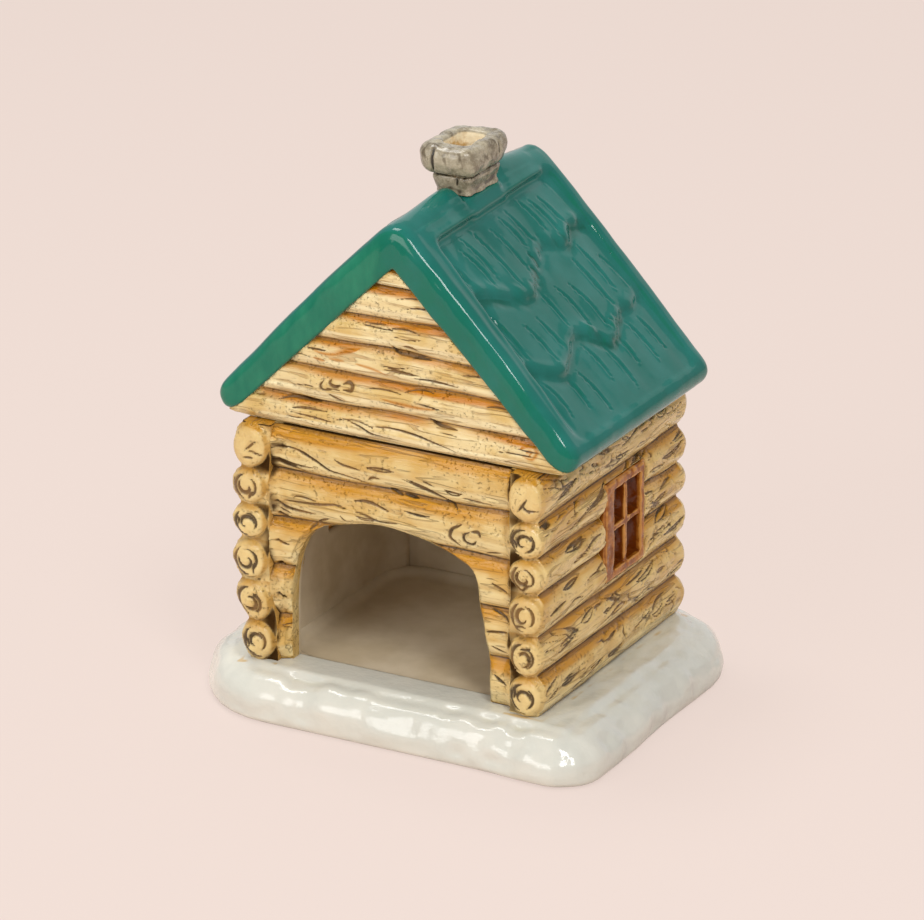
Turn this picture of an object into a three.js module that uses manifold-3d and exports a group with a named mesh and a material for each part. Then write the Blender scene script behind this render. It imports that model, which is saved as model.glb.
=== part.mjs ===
// Log cabin wax melt burner in glazed earthenware.
// Millimetres, +Z up, the arched front faces -Y, +X is the right-hand side.
// The origin is the centre of the footprint, on the table.

import * as THREE from 'three';
import { mergeVertices } from 'three/addons/utils/BufferGeometryUtils.js';
import Module from 'manifold-3d';

const wasm = await Module();
wasm.setup();

// Snow base: it reaches out past the walls by an apron on each side
const snowApronSide = 15.2;
const snowApronEnd = 11.4;
const baseHeight = 12;
const baseRadii = { frontRight: 9.5, backRight: 24.5, backLeft: 18, frontLeft: 27 };
const snowRimRound = 7;
const snowRimSteps = 6;
const snowSkirtRound = 2.2;
const snowSkirtSteps = 3;
const snowCrown = 1.1;
const snowCrownRun = 2.2;
const snowLump = 0.7;
const snowWaves = [{ count: 8, share: 0.3, turn: 0 }, { count: 13, share: 0.2, turn: 1 }];
const footRingWidth = 5;
const footHollowRun = 1.5;
const footHollow = 1.5;
const floorSink = 0.8;
const floorMargin = 0.6;

// Log walls, each course given by its height from the snow up
const wallLength = 81.6;
const wallDepth = 72;
const sideCourses = [10, 10.2, 10.4, 8.9, 9.2, 11.3];
const frontCourses = [11.8, 12.4, 12.6, 11.8, 11.4];
const logGroove = 1.9;
const frontGroove = 1.5;
const frontRecess = 0.8;
const wallThickness = 6.3;
const frontThickness = 5.2;
const chamberCornerRadius = 10;
const cornerBlockWidth = 9.6;
const cornerBlockInset = 0.5;
const logEndProud = 1.5;
const logEndRound = 1.6;
const logEndDome = 0.4;

// Arched mouth of the candle chamber. Jambs are measured from the corner blocks,
// shoulders and the knee inwards from their jamb, and heights from the snow.
const archLeftJamb = 2.6;
const archRightJamb = 6.4;
const archLeftSpring = 14;
const archRightSpring = 10;
const archLeftPull = 10;
const archLeftShoulder = [9, 36];
const archShoulderLead = [6.5, 2.5];
const archCrown = [-2.5, 38.9];
const archRightShoulder = [6.4, 33.8];
const archRightKnee = [2.6, 23];
const archChamfer = 1.1;
const archChamferSink = 0.76;

// Side windows
const windowWidth = 20.6;
const windowHeight = 25.2;
const windowCentreY = 5.8;
const windowSill = 21.9;
const frameBorder = 2.4;
const frameFrontBorder = 4.6;
const muntinWidth = 1.4;
const muntinSink = 0.6;
const muntinRoot = 1;
const frameDepth = 5.4;
const frameRound = 0.6;
const frameClearance = 0.3;

// Ledges and the removable wax dish
const ledgeLength = 38;
const ledgeReach = 3.5;
const ledgeHeight = 4.5;
const ledgeNose = 2.5;
const ledgeDrop = 7.5;
const dishClearance = 1;
const dishFlange = 4;
const dishFlangeThickness = 2.4;
const dishDepth = 12;
const dishDraft = 3.5;
const dishWall = 2.6;
const dishEdgeRound = 0.6;
const dishFootRound = 1.5;
const dishBowlRound = 2;
const dishLeastRadius = 3;

// Lid: heights are above the seam with the walls
const ridgeRise = 56.8;
const ridgeRound = 5.5;
const eaveOverhang = 3.4;
const eaveRise = 4.9;
const eaveRoll = 3.6;
const bargeSetback = 0.4;
const bargeRound = 2.2;
const skirtInset = 0.4;
const roofThickness = 5;
const lidClearance = 0.3;
const rimClearance = 0.6;
const rimThickness = 2.2;
const rimDrop = 3;
const rimRise = 3.4;

// Gables: courses from the seam up, and toes that turn out under the eaves
const gableCourses = [8.2, 7.8, 7.5, 7.7, 7.8, 5];
const gableDrop = 12.9;
const gableGroove = 1.2;
const gableRecess = 0.7;
const gableFootInset = 3.2;
const gableToeInset = 0.8;
const gableToeRise = 0.4;
const gableToeLean = 1.3;
const gableShoulderInset = 3.4;
const gableShoulderDrop = 1.5;

// Thatch panel, sunk in the slope. Its corners lie down the slope from the ridge line and in
// from the ends of the roof. Lower edges of its courses: places along the panel from front (-1)
// to back (1), and down it from the top (0) to the bottom (1). The last course fills the foot.
const panelTopFront = 9.9;
const panelTopBack = 8.8;
const panelEndMargin = 0.6;
const panelFrontMargins = { top: 8.8, foot: 5.7 };
const panelBackMargins = { top: 4.6, foot: 5.3 };
const panelRadius = 3;
const panelSink = 1.7;
const thatchRoot = 1;
const thatchStep = 1.5;
const thatchUnderlap = 3;
const thatchEdges = [
  [[-1, 0.27], [-0.73, 0.31], [-0.49, 0.375], [-0.3, 0.41], [-0.1, 0.37], [0.1, 0.3], [0.31, 0.26],
    [0.52, 0.305], [0.73, 0.25], [1, 0.28]],
  [[-1, 0.58], [-0.83, 0.665], [-0.59, 0.735], [-0.4, 0.7], [-0.18, 0.635], [0.03, 0.665], [0.21, 0.75],
    [0.38, 0.7], [0.55, 0.655], [0.76, 0.655], [1, 0.595]],
  [[-1, 1.05], [0, 1.06], [1, 1.05]],
];

// Chimney on the ridge
const chimneyY = 0.95;
const stackLength = 9.8;
const stackDepth = 15.5;
const stackRound = 1.6;
const stackSink = 3.3;
const stackHeight = 4.6;
const stackTaper = 0.3;
const stackTaperRise = 1.2;
const capLength = 15.2;
const capDepth = 20.8;
const capHeight = 7.6;
const capRound = 3.8;
const capLean = [-0.7, -0.4];
const flueLength = 5.6;
const flueDepth = 9.8;
const flueRound = 1.5;
const flueMouthLength = 7.8;
const flueMouthDepth = 11.2;
const flueMouthRound = 2.2;
const curbSpread = 3.6;
const curbDrop = 6.5;
const curbShares = [0, 0.3, 0.6, 0.85, 1];

// Sides of the collar and of its mouth, bottom to top: share of the flare and share of the height
const capSide = [[0, 0], [0.45, 0.1], [0.8, 0.25], [1, 0.48], [0.96, 0.7], [0.78, 0.88], [0.45, 1]];
const mouthSide = [[0, 0.45], [0.6, 0.75], [1, 1.1]];

// Places that follow from the sizes above
const total = (values) => values.reduce((sum, value) => sum + value, 0);
const stretched = (courses, height) => courses.map((course) => course * height / total(courses));
const wallHeight = total(sideCourses);
const seamZ = baseHeight + wallHeight;
const outerX = wallLength / 2;
const blockY = wallDepth / 2;
const baseLength = wallLength + 2 * snowApronSide;
const baseDepth = wallDepth + 2 * snowApronEnd;
const chamberX = outerX - wallThickness;
const frontFaceY = blockY - frontRecess;
const chamberY = frontFaceY - frontThickness;
const blockInnerX = outerX - cornerBlockWidth;
const mouthLeft = archLeftJamb - blockInnerX;
const mouthRight = blockInnerX - archRightJamb;
const ledgeTop = seamZ - ledgeDrop;
const eaveReach = outerX + eaveOverhang;
const slopeTip = Math.hypot(eaveReach, ridgeRise - eaveRise);
const slopeAngle = Math.atan2(ridgeRise - eaveRise, eaveReach) - Math.asin(eaveRoll / slopeTip);
const roofEndY = blockY - bargeSetback;
const gableOuterY = roofEndY - gableRecess;
const gableBackY = chamberY - lidClearance;
const gableApex = ridgeRise - gableDrop;
const panelEnd = Math.sqrt(slopeTip ** 2 - eaveRoll ** 2) - panelEndMargin;
const panelFront = Math.min(panelFrontMargins.top, panelFrontMargins.foot) - roofEndY;
const panelBack = roofEndY - Math.min(panelBackMargins.top, panelBackMargins.foot);
const stackFoot = ridgeRise - stackSink;
const overcut = 5;

const glaze = (color, roughness) => new THREE.MeshStandardMaterial({ color, roughness, metalness: 0 });
const snowGlaze = glaze(0xdedfd6, 0.2);
const logGlaze = glaze(0xd9a85c, 0.28);
const gableGlaze = glaze(0xe6cd9a, 0.28);
const roofGlaze = glaze(0x1d735f, 0.15);
const stoneGlaze = glaze(0x857c6d, 0.4);
const frameGlaze = glaze(0x8a4a26, 0.3);
const bareClay = glaze(0x9c8c76, 0.6);
const dishGlaze = glaze(0xe2dac6, 0.25);

// Makes every face of a closed mesh point outwards, whichever way it was wound
function facingOut(geometry) {
  const position = geometry.getAttribute('position');
  const index = geometry.getIndex();
  const corners = [new THREE.Vector3(), new THREE.Vector3(), new THREE.Vector3()];
  let volume = 0;
  for (let i = 0; i < index.count; i += 3) {
    corners.forEach((corner, k) => corner.fromBufferAttribute(position, index.getX(i + k)));
    volume += corners[0].dot(corners[1].clone().cross(corners[2]));
  }
  if (volume < 0) {
    for (let i = 0; i < index.count; i += 3) {
      const first = index.getX(i);
      index.setX(i, index.getX(i + 1));
      index.setX(i + 1, first);
    }
  }
  return geometry;
}

function welded(geometry) {
  geometry.deleteAttribute('normal');
  geometry.deleteAttribute('uv');
  return facingOut(mergeVertices(geometry, 1e-4));
}

function solid(geometry) {
  const closed = welded(geometry);
  return new wasm.Manifold(new wasm.Mesh({
    numProp: 3,
    vertProperties: new Float32Array(closed.getAttribute('position').array),
    triVerts: new Uint32Array(closed.getIndex().array),
  }));
}

function joined(solids) {
  return solids.reduce((sum, next) => sum.add(next));
}

function piece(name, body, material) {
  let geometry = body;
  if (!body.isBufferGeometry) {
    const result = body.getMesh();
    geometry = new THREE.BufferGeometry();
    geometry.setAttribute('position', new THREE.BufferAttribute(new Float32Array(result.vertProperties), 3));
    geometry.setIndex(new THREE.BufferAttribute(new Uint32Array(result.triVerts), 1));
    geometry.computeVertexNormals();
  }
  const mesh = new THREE.Mesh(geometry, material);
  mesh.name = name;
  return mesh;
}

// Axes on which an outline is drawn and swept: its first coordinate, its second, and the sweep
const sweepAxes = {
  x: [new THREE.Vector3(0, 1, 0), new THREE.Vector3(0, 0, 1), new THREE.Vector3(1, 0, 0)],
  y: [new THREE.Vector3(1, 0, 0), new THREE.Vector3(0, 0, 1), new THREE.Vector3(0, -1, 0)],
  z: [new THREE.Vector3(1, 0, 0), new THREE.Vector3(0, 1, 0), new THREE.Vector3(0, 0, 1)],
};

// Sweeps an outline along an axis between two places; a bevel rounds both ends inside them
function prism(points, axis, from, to, bevel = 0, bevelSteps = 3) {
  const shape = new THREE.Shape(points.map(([a, b]) => new THREE.Vector2(a, b)));
  const geometry = new THREE.ExtrudeGeometry(shape, {
    depth: to - from - 2 * bevel,
    bevelEnabled: bevel > 0,
    bevelThickness: bevel,
    bevelSize: bevel,
    bevelOffset: -bevel,
    bevelSegments: bevelSteps,
  });
  geometry.applyMatrix4(new THREE.Matrix4().makeBasis(...sweepAxes[axis]));
  const start = axis === 'y' ? to - bevel : from + bevel;
  const offset = { x: [start, 0, 0], y: [0, start, 0], z: [0, 0, start] }[axis];
  geometry.translate(...offset);
  return geometry;
}

function box(x0, x1, y0, y1, z0, z1) {
  const geometry = new THREE.BoxGeometry(x1 - x0, y1 - y0, z1 - z0);
  geometry.translate((x0 + x1) / 2, (y0 + y1) / 2, (z0 + z1) / 2);
  return geometry;
}

// Points of an arc; angles in radians from +X, anticlockwise positive
function arc(cx, cy, radius, start, end, steps) {
  return Array.from({ length: steps + 1 }, (_, i) => {
    const angle = start + (end - start) * i / steps;
    return [cx + radius * Math.cos(angle), cy + radius * Math.sin(angle)];
  });
}

function roundedRect(halfX, halfY, radius, steps = 5, centreY = 0) {
  const r = Math.min(radius, halfX, halfY);
  const corners = [[1, 1], [-1, 1], [-1, -1], [1, -1]];
  return corners.flatMap(([sx, sy], i) => arc(
    sx * (halfX - r), centreY + sy * (halfY - r), r, i * Math.PI / 2, (i + 1) * Math.PI / 2, steps));
}

// Closed skin through rings of equal count, capped at both ends
function loft(rings) {
  const count = rings[0].length;
  const positions = rings.flat(2);
  const indices = [];
  for (let ring = 0; ring < rings.length - 1; ring += 1) {
    for (let i = 0; i < count; i += 1) {
      const a = ring * count + i;
      const b = ring * count + (i + 1) % count;
      indices.push(a, b, b + count, a, b + count, a + count);
    }
  }
  [rings[0], rings.at(-1)].forEach((ring, end) => {
    const centre = ring.reduce((sum, point) => sum.map((v, k) => v + point[k] / count), [0, 0, 0]);
    const hub = positions.length / 3;
    positions.push(...centre);
    const first = end ? (rings.length - 1) * count : 0;
    for (let i = 0; i < count; i += 1) {
      const pair = [first + i, first + (i + 1) % count];
      indices.push(hub, ...(end ? pair : pair.reverse()));
    }
  });
  const geometry = new THREE.BufferGeometry();
  geometry.setAttribute('position', new THREE.BufferAttribute(new Float32Array(positions), 3));
  geometry.setIndex(indices);
  return geometry;
}

// Moves every edge of an anticlockwise outline outwards by a distance, with mitred corners
function grown(points, distance) {
  const corners = points.map(([x, y]) => new THREE.Vector2(x, y));
  return corners.map((corner, i) => {
    const before = corner.clone().sub(corners.at(i - 1)).normalize();
    const after = corners[(i + 1) % corners.length].clone().sub(corner).normalize();
    const normal = new THREE.Vector2(before.y + after.y, -before.x - after.x);
    const reach = 2 * distance / normal.lengthSq();
    return [corner.x + normal.x * reach, corner.y + normal.y * reach];
  });
}

// Rounds the corners of an anticlockwise outline that bulges outwards all round
function softened(points, radius, steps) {
  const heading = (from, to) => Math.atan2(to[1] - from[1], to[0] - from[0]) - Math.PI / 2;
  return grown(points, -radius).flatMap(([cx, cy], i) => {
    const start = heading(points.at(i - 1), points[i]);
    const end = heading(points[i], points[(i + 1) % points.length]);
    const turn = (end - start + 2 * Math.PI) % (2 * Math.PI);
    return arc(cx, cy, radius, start, start + turn, steps);
  });
}

const atHeight = (points, z) => points.map(([x, y]) => [x, y, z]);

// Rounded log faces stacked from a given height: pairs of offset and height
function logFace(courses, outer, groove, bottom, steps = 6) {
  const points = [[outer - groove, bottom]];
  let z = bottom;
  courses.forEach((height) => {
    const radius = (groove ** 2 + (height / 2) ** 2) / (2 * groove);
    for (let step = 1; step <= steps; step += 1) {
      const rise = height * (step / steps - 0.5);
      const bulge = Math.sqrt(radius ** 2 - rise ** 2) - radius;
      points.push([outer + bulge, z + height / 2 + rise]);
    }
    z += height;
  });
  return points;
}

// Snow base
// The plan has four corner radii. Each ring is inset from it and shrinks in soft lumps.
const snowCornerSteps = 8;
const snowSideSteps = 7;

function snowOutline(inset, lump) {
  const halfX = baseLength / 2;
  const halfY = baseDepth / 2;
  const corners = [
    [1, 1, baseRadii.backRight],
    [-1, 1, baseRadii.backLeft],
    [-1, -1, baseRadii.frontLeft],
    [1, -1, baseRadii.frontRight],
  ];
  const arcs = corners.map(([sx, sy, radius], i) => {
    const start = i * Math.PI / 2;
    const centre = [sx * (halfX - radius), sy * (halfY - radius)];
    return arc(...centre, radius - inset, start, start + Math.PI / 2, snowCornerSteps);
  });
  const plan = arcs.flatMap((points, i) => {
    const from = points.at(-1);
    const to = arcs[(i + 1) % 4][0];
    const side = Array.from({ length: snowSideSteps - 1 }, (_, k) => {
      const share = (k + 1) / snowSideSteps;
      return [from[0] + (to[0] - from[0]) * share, from[1] + (to[1] - from[1]) * share];
    });
    return [...points, ...side];
  });
  return plan.map(([x, y], i) => {
    const turn = 2 * Math.PI * i / plan.length;
    const wave = 0.5 - total(snowWaves.map((part) => part.share * Math.cos(part.count * turn + part.turn)));
    const shrink = 1 - lump * wave / Math.hypot(x, y);
    return [x * shrink, y * shrink];
  });
}

function snowBase() {
  const rings = [];
  const ring = (inset, z, lump) => rings.push(atHeight(snowOutline(inset, lump), z));
  ring(snowSkirtRound + footRingWidth + footHollowRun, footHollow, 0);
  ring(snowSkirtRound + footRingWidth, 0, 0);
  for (let step = 0; step <= snowSkirtSteps; step += 1) {
    const share = step / snowSkirtSteps;
    const angle = Math.PI / 2 * share;
    ring(snowSkirtRound * (1 - Math.sin(angle)), snowSkirtRound * (1 - Math.cos(angle)), snowLump * share);
  }
  const shoulderZ = baseHeight - snowCrown - snowRimRound;
  for (let step = 0; step <= snowRimSteps; step += 1) {
    const share = step / snowRimSteps;
    const angle = Math.PI / 2 * share;
    const inset = snowRimRound * (1 - Math.cos(angle));
    ring(inset, shoulderZ + snowRimRound * Math.sin(angle), snowLump * (1 - share / 2));
  }
  ring(snowRimRound + snowCrownRun, baseHeight, 0);
  const floor = roundedRect(chamberX - floorMargin, chamberY - floorMargin, chamberCornerRadius, 6);
  const sunk = solid(prism(floor, 'z', baseHeight - floorSink, baseHeight + overcut));
  return piece('snow_base', solid(loft(rings)).subtract(sunk), snowGlaze);
}

// Walls: each is made with a little stock inside, which the chamber cuts back
const wallStock = 1;

function chamberVoid() {
  const outline = roundedRect(chamberX, chamberY, chamberCornerRadius, 6);
  return solid(prism(outline, 'z', baseHeight - overcut, seamZ + overcut));
}

// Domed end of one log, as wide as the corner block, standing out of it along Y
function logEnd(height, centreZ, side, end) {
  const radius = height / 2;
  const reach = blockY + logEndProud;
  const profile = [
    new THREE.Vector2(0, blockY - logEndProud * 2),
    new THREE.Vector2(radius, blockY - logEndProud * 2),
    ...arc(radius - logEndRound, reach - logEndRound, logEndRound, 0, Math.PI / 2, 3)
      .map(([r, y]) => new THREE.Vector2(r, y)),
    new THREE.Vector2(0, reach + logEndDome),
  ];
  const geometry = new THREE.LatheGeometry(profile, 18);
  if (end < 0) geometry.rotateX(Math.PI);
  geometry.scale(cornerBlockWidth / height, 1, 1);
  geometry.translate(side * (outerX - cornerBlockWidth / 2), 0, centreZ);
  return solid(geometry);
}

function sideWall(name, side) {
  const stock = chamberX - wallStock;
  const face = logFace(sideCourses, outerX, logGroove, baseHeight);
  const section = [...face, [stock, seamZ], [stock, baseHeight]].map(([x, z]) => [side * x, z]);
  const parts = [solid(prism(section, 'y', -blockY, blockY))];
  const blockOuter = outerX - logGroove - cornerBlockInset;
  const blockX = [side * blockInnerX, side * blockOuter].sort((a, b) => a - b);
  [-1, 1].forEach((end) => {
    const blockEnds = [end * blockY, end * (chamberY - chamberCornerRadius)].sort((a, b) => a - b);
    parts.push(solid(box(...blockX, ...blockEnds, baseHeight, seamZ)));
    let z = baseHeight;
    sideCourses.forEach((height) => {
      parts.push(logEnd(height, z + height / 2, side, end));
      z += height;
    });
  });
  const trim = solid(box(-baseLength, baseLength, -baseDepth, baseDepth, baseHeight, seamZ));
  const wall = joined(parts).intersect(trim).subtract(chamberVoid()).subtract(windowHole(side));
  return piece(name, wall, logGlaze);
}

function endWall(name, end, mouth) {
  const stock = chamberY - wallStock;
  const face = logFace(stretched(frontCourses, wallHeight), frontFaceY, frontGroove, baseHeight);
  const section = [...face, [stock, seamZ], [stock, baseHeight]].map(([y, z]) => [end * y, z]);
  let wall = solid(prism(section, 'x', -blockInnerX, blockInnerX)).subtract(chamberVoid());
  if (mouth) wall = wall.subtract(mouth);
  return piece(name, wall, logGlaze);
}

// Outline of the arched mouth: a plumb left jamb, a low crown and a shoulder that slopes to the right
function archOutline() {
  const above = (x, z) => new THREE.Vector2(x, baseHeight + z);
  const shape = new THREE.Shape();
  const start = above(mouthLeft, archLeftSpring);
  const pull = above(mouthLeft, archLeftSpring + archLeftPull);
  const [shoulderIn, shoulderRise] = archLeftShoulder;
  const shoulder = above(mouthLeft + shoulderIn, shoulderRise);
  const lead = shoulder.clone().sub(new THREE.Vector2(...archShoulderLead));
  shape.moveTo(mouthLeft, baseHeight - overcut);
  shape.lineTo(start.x, start.y);
  shape.bezierCurveTo(pull.x, pull.y, lead.x, lead.y, shoulder.x, shoulder.y);
  const [rightIn, rightRise] = archRightShoulder;
  const [kneeIn, kneeRise] = archRightKnee;
  shape.splineThru([
    above(...archCrown),
    above(mouthRight - rightIn, rightRise),
    above(mouthRight - kneeIn, kneeRise),
    above(mouthRight, archRightSpring),
  ]);
  shape.lineTo(mouthRight, baseHeight - overcut);
  return shape.getPoints(6).map((point) => [point.x, point.y]);
}

function archMouth() {
  const outline = archOutline();
  const through = solid(prism(outline, 'y', -blockY - overcut, -chamberY + overcut));
  const shape = new THREE.Shape(outline.map(([x, z]) => new THREE.Vector2(x, z)));
  const wider = new THREE.ExtrudeGeometry(shape, {
    depth: overcut,
    bevelEnabled: true,
    bevelThickness: archChamfer,
    bevelSize: archChamfer,
    bevelSegments: 1,
  });
  wider.applyMatrix4(new THREE.Matrix4().makeBasis(...sweepAxes.y));
  wider.translate(0, archChamferSink - frontFaceY, 0);
  return through.add(solid(wider));
}

// Windows
const windowBase = baseHeight + windowSill;

function windowHole(side) {
  const y0 = windowCentreY - windowWidth / 2 - frameClearance;
  const y1 = windowCentreY + windowWidth / 2 + frameClearance;
  const xs = [side * (chamberX - overcut), side * (outerX + overcut)].sort((a, b) => a - b);
  return solid(box(...xs, y0, y1, windowBase - frameClearance, windowBase + windowHeight + frameClearance));
}

// Border with two by two open panes; the crossing bars lie a little below the border's face
function windowFrame(name, side) {
  const inner = chamberX + frameClearance;
  const across = (near, far) => [side * near, side * far].sort((a, b) => a - b);
  const yLow = windowCentreY - windowWidth / 2;
  const yHigh = windowCentreY + windowWidth / 2;
  const zLow = windowBase;
  const zHigh = windowBase + windowHeight;
  const outer = [[yLow, zLow], [yHigh, zLow], [yHigh, zHigh], [yLow, zHigh]];
  const border = solid(prism(outer, 'x', ...across(inner, inner + frameDepth), frameRound, 1));
  const paneY = [yLow + frameFrontBorder, yHigh - frameBorder];
  const paneZ = [zLow + frameBorder, zHigh - frameBorder];
  const hole = solid(box(...across(inner - overcut, inner + frameDepth + overcut), ...paneY, ...paneZ));
  const middleY = (paneY[0] + paneY[1]) / 2;
  const middleZ = (zLow + zHigh) / 2;
  const barX = across(inner, inner + frameDepth - muntinSink);
  const barY = [middleY - muntinWidth / 2, middleY + muntinWidth / 2];
  const barZ = [middleZ - muntinWidth / 2, middleZ + muntinWidth / 2];
  const upright = solid(box(...barX, ...barY, zLow + muntinRoot, zHigh - muntinRoot));
  const rail = solid(box(...barX, yLow + muntinRoot, yHigh - muntinRoot, ...barZ));
  return piece(name, border.subtract(hole).add(upright).add(rail), frameGlaze);
}

// Dish and its ledges
function dishLedge(name, side) {
  const section = [
    [chamberX, ledgeTop - ledgeHeight],
    [chamberX, ledgeTop],
    [chamberX - ledgeReach, ledgeTop],
    [chamberX - ledgeReach, ledgeTop - ledgeNose],
  ].map(([x, z]) => [side * x, z]);
  return piece(name, welded(prism(section, 'y', -ledgeLength / 2, ledgeLength / 2)), bareClay);
}

function waxDish() {
  const halfX = chamberX - dishClearance;
  const halfY = chamberY - dishClearance;
  const cornerRadius = chamberCornerRadius - dishClearance;
  const flangeTop = ledgeTop + dishFlangeThickness;
  const bottom = flangeTop - dishDepth;
  const bowl = dishFlange + dishWall;
  const bowlFloor = bottom + dishWall;
  const ring = (inset, z) => {
    const radius = Math.max(cornerRadius - inset / 2, dishLeastRadius);
    return atHeight(roundedRect(halfX - inset, halfY - inset, radius, 5), z);
  };
  const rings = [
    ring(dishFlange + dishDraft + dishFootRound, bottom),
    ring(dishFlange + dishDraft, bottom + dishFootRound),
    ring(dishFlange, ledgeTop),
    ring(dishEdgeRound, ledgeTop),
    ring(0, ledgeTop + dishEdgeRound),
    ring(0, flangeTop - dishEdgeRound),
    ring(dishEdgeRound, flangeTop),
    ring(bowl - dishEdgeRound, flangeTop),
    ring(bowl, flangeTop - dishEdgeRound),
    ring(bowl + dishDraft, bowlFloor + dishBowlRound),
    ring(bowl + dishDraft + dishBowlRound, bowlFloor),
  ];
  return piece('wax_dish', welded(loft(rings)), dishGlaze);
}

// Lid
const eaveRollStart = Math.PI / 2 - slopeAngle;

// Section of the whole lid across the house, solid from the seam up
function roofOutline() {
  const ridgeCentre = ridgeRise - ridgeRound / Math.cos(slopeAngle);
  const right = [
    [outerX - skirtInset, 0],
    ...arc(eaveReach, eaveRise, eaveRoll, -Math.PI / 2, eaveRollStart, 6),
    ...arc(0, ridgeCentre, ridgeRound, eaveRollStart, Math.PI / 2, 5),
  ];
  const left = right.slice(0, -1).reverse().map(([x, z]) => [-x, z]);
  return [...right, ...left].map(([x, z]) => [x, seamZ + z]);
}

// Outline of a gable under the roof slab, with its toes turned out under the eaves
function gableOutline() {
  const toe = eaveReach - gableToeInset;
  const right = [
    [outerX - gableFootInset, 0],
    [toe, gableToeRise],
    [toe + gableToeLean, eaveRise - eaveRoll - lidClearance],
    [eaveReach - gableShoulderInset, eaveRise - gableShoulderDrop],
  ];
  const left = right.map(([x, z]) => [-x, z]).reverse();
  return [...right, [0, gableApex], ...left].map(([x, z]) => [x, seamZ + z]);
}

// Places a shape drawn as (down the slope, along Y, out of the slope) on one side of the roof
function onSlope(geometry, side) {
  const down = new THREE.Vector3(side * Math.cos(slopeAngle), 0, -Math.sin(slopeAngle));
  const along = new THREE.Vector3(0, side, 0);
  const out = new THREE.Vector3(side * Math.sin(slopeAngle), 0, Math.cos(slopeAngle));
  geometry.applyMatrix4(new THREE.Matrix4().makeBasis(down, along, out));
  geometry.translate(0, 0, seamZ + ridgeRise);
  return geometry;
}

// One course of thatch, lying on the panel and thickening towards its lower edge
function thatchCourse(edge, start, side) {
  const curve = new THREE.CatmullRomCurve3(edge.map(([y, down]) => new THREE.Vector3(down, side * y, 0)));
  const lower = curve.getPoints(edge.length * 3).map((point) => [point.x, point.y]);
  const outline = [...lower, [start, lower.at(-1)[1]], [start, lower[0][1]]];
  const geometry = prism(outline, 'z', -panelSink - thatchRoot, 0);
  const rise = thatchStep / (Math.max(...edge.map(([, down]) => down)) - start);
  const lift = -panelSink - rise * start;
  geometry.applyMatrix4(new THREE.Matrix4().set(1, 0, 0, 0, 0, 1, 0, 0, rise, 0, 1, lift, 0, 0, 0, 1));
  return solid(onSlope(geometry, side));
}

function thatchPanel(side) {
  const panelTop = Math.min(panelTopFront, panelTopBack);
  const length = panelEnd - panelTop;
  const halfAlong = (panelBack - panelFront) / 2;
  const middle = (panelBack + panelFront) / 2;
  const corners = [
    [panelTopFront, panelFrontMargins.top - roofEndY],
    [panelEnd, panelFrontMargins.foot - roofEndY],
    [panelEnd, roofEndY - panelBackMargins.foot],
    [panelTopBack, roofEndY - panelBackMargins.top],
  ].map(([down, y]) => [down, side * y]);
  const outline = softened(side > 0 ? corners : corners.reverse(), panelRadius, 4);
  const pocket = solid(onSlope(prism(outline, 'z', -panelSink, overcut), side));
  let start = panelTop - thatchUnderlap;
  const courses = thatchEdges.map((shares) => {
    const edge = shares.map(([along, down]) => [
      middle + along * (halfAlong + thatchRoot), panelTop + down * length]);
    const course = thatchCourse(edge, start, side);
    start = Math.min(...edge.map(([, down]) => down)) - thatchUnderlap;
    return course;
  });
  const field = solid(onSlope(prism(outline, 'z', -panelSink - thatchRoot, overcut), side));
  return { pocket, thatch: joined(courses).intersect(field) };
}

// Foot of the chimney, swept up out of the ridge
function chimneyCurb() {
  const rings = curbShares.map((share) => {
    const spread = curbSpread * (1 - share) ** 2 + lidClearance;
    const z = seamZ + stackFoot - curbDrop * (1 - share);
    return atHeight(
      roundedRect(stackLength / 2 + spread, stackDepth / 2 + spread, stackRound + spread, 3, chimneyY), z);
  });
  return solid(loft(rings));
}

function flueVoid(from, to) {
  return solid(prism(roundedRect(flueLength / 2, flueDepth / 2, flueRound, 3, chimneyY), 'z', from, to));
}

// Hollow under the roof, leaving a slab of even thickness on each slope
function roofVoid() {
  const innerX = chamberX - lidClearance;
  const apex = ridgeRise - roofThickness / Math.cos(slopeAngle);
  const spring = apex - innerX * Math.tan(slopeAngle);
  const right = [[innerX, -overcut], [innerX, spring]];
  const left = right.map(([x, z]) => [-x, z]).reverse();
  const outline = [...right, [0, apex], ...left].map(([x, z]) => [x, seamZ + z]);
  return solid(prism(outline, 'y', -gableBackY, gableBackY));
}

function roofShell() {
  let roof = solid(prism(roofOutline(), 'y', -roofEndY, roofEndY, bargeRound));
  [1, -1].forEach((side) => {
    const panel = thatchPanel(side);
    roof = roof.subtract(panel.pocket).add(panel.thatch);
  });
  const seat = roundedRect(
    stackLength / 2 + lidClearance, stackDepth / 2 + lidClearance, stackRound + lidClearance, 3, chimneyY);
  const seatFloor = seamZ + stackFoot;
  const seatVoid = solid(prism(seat, 'z', seatFloor, seatFloor + stackSink + overcut));
  roof = roof.add(chimneyCurb()).subtract(seatVoid).subtract(roofVoid());
  const pocket = grown(gableOutline(), lidClearance);
  [[gableBackY, roofEndY + overcut], [-roofEndY - overcut, -gableBackY]].forEach(([from, to]) => {
    roof = roof.subtract(solid(prism(pocket, 'y', from, to)));
  });
  roof = roof.subtract(flueVoid(seamZ + gableApex, seatFloor + overcut));
  return piece('roof_shell', roof, roofGlaze);
}

function gable(name, end) {
  const face = logFace(stretched(gableCourses, gableApex), gableOuterY, gableGroove, seamZ, 5);
  const top = face.at(-1)[1];
  const section = [...face, [gableBackY, top], [gableBackY, seamZ]].map(([y, z]) => [end * y, z]);
  const logs = solid(prism(section, 'x', -baseLength / 2, baseLength / 2));
  const outline = solid(prism(gableOutline(), 'y', -baseDepth, baseDepth));
  return piece(name, logs.intersect(outline), gableGlaze);
}

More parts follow.
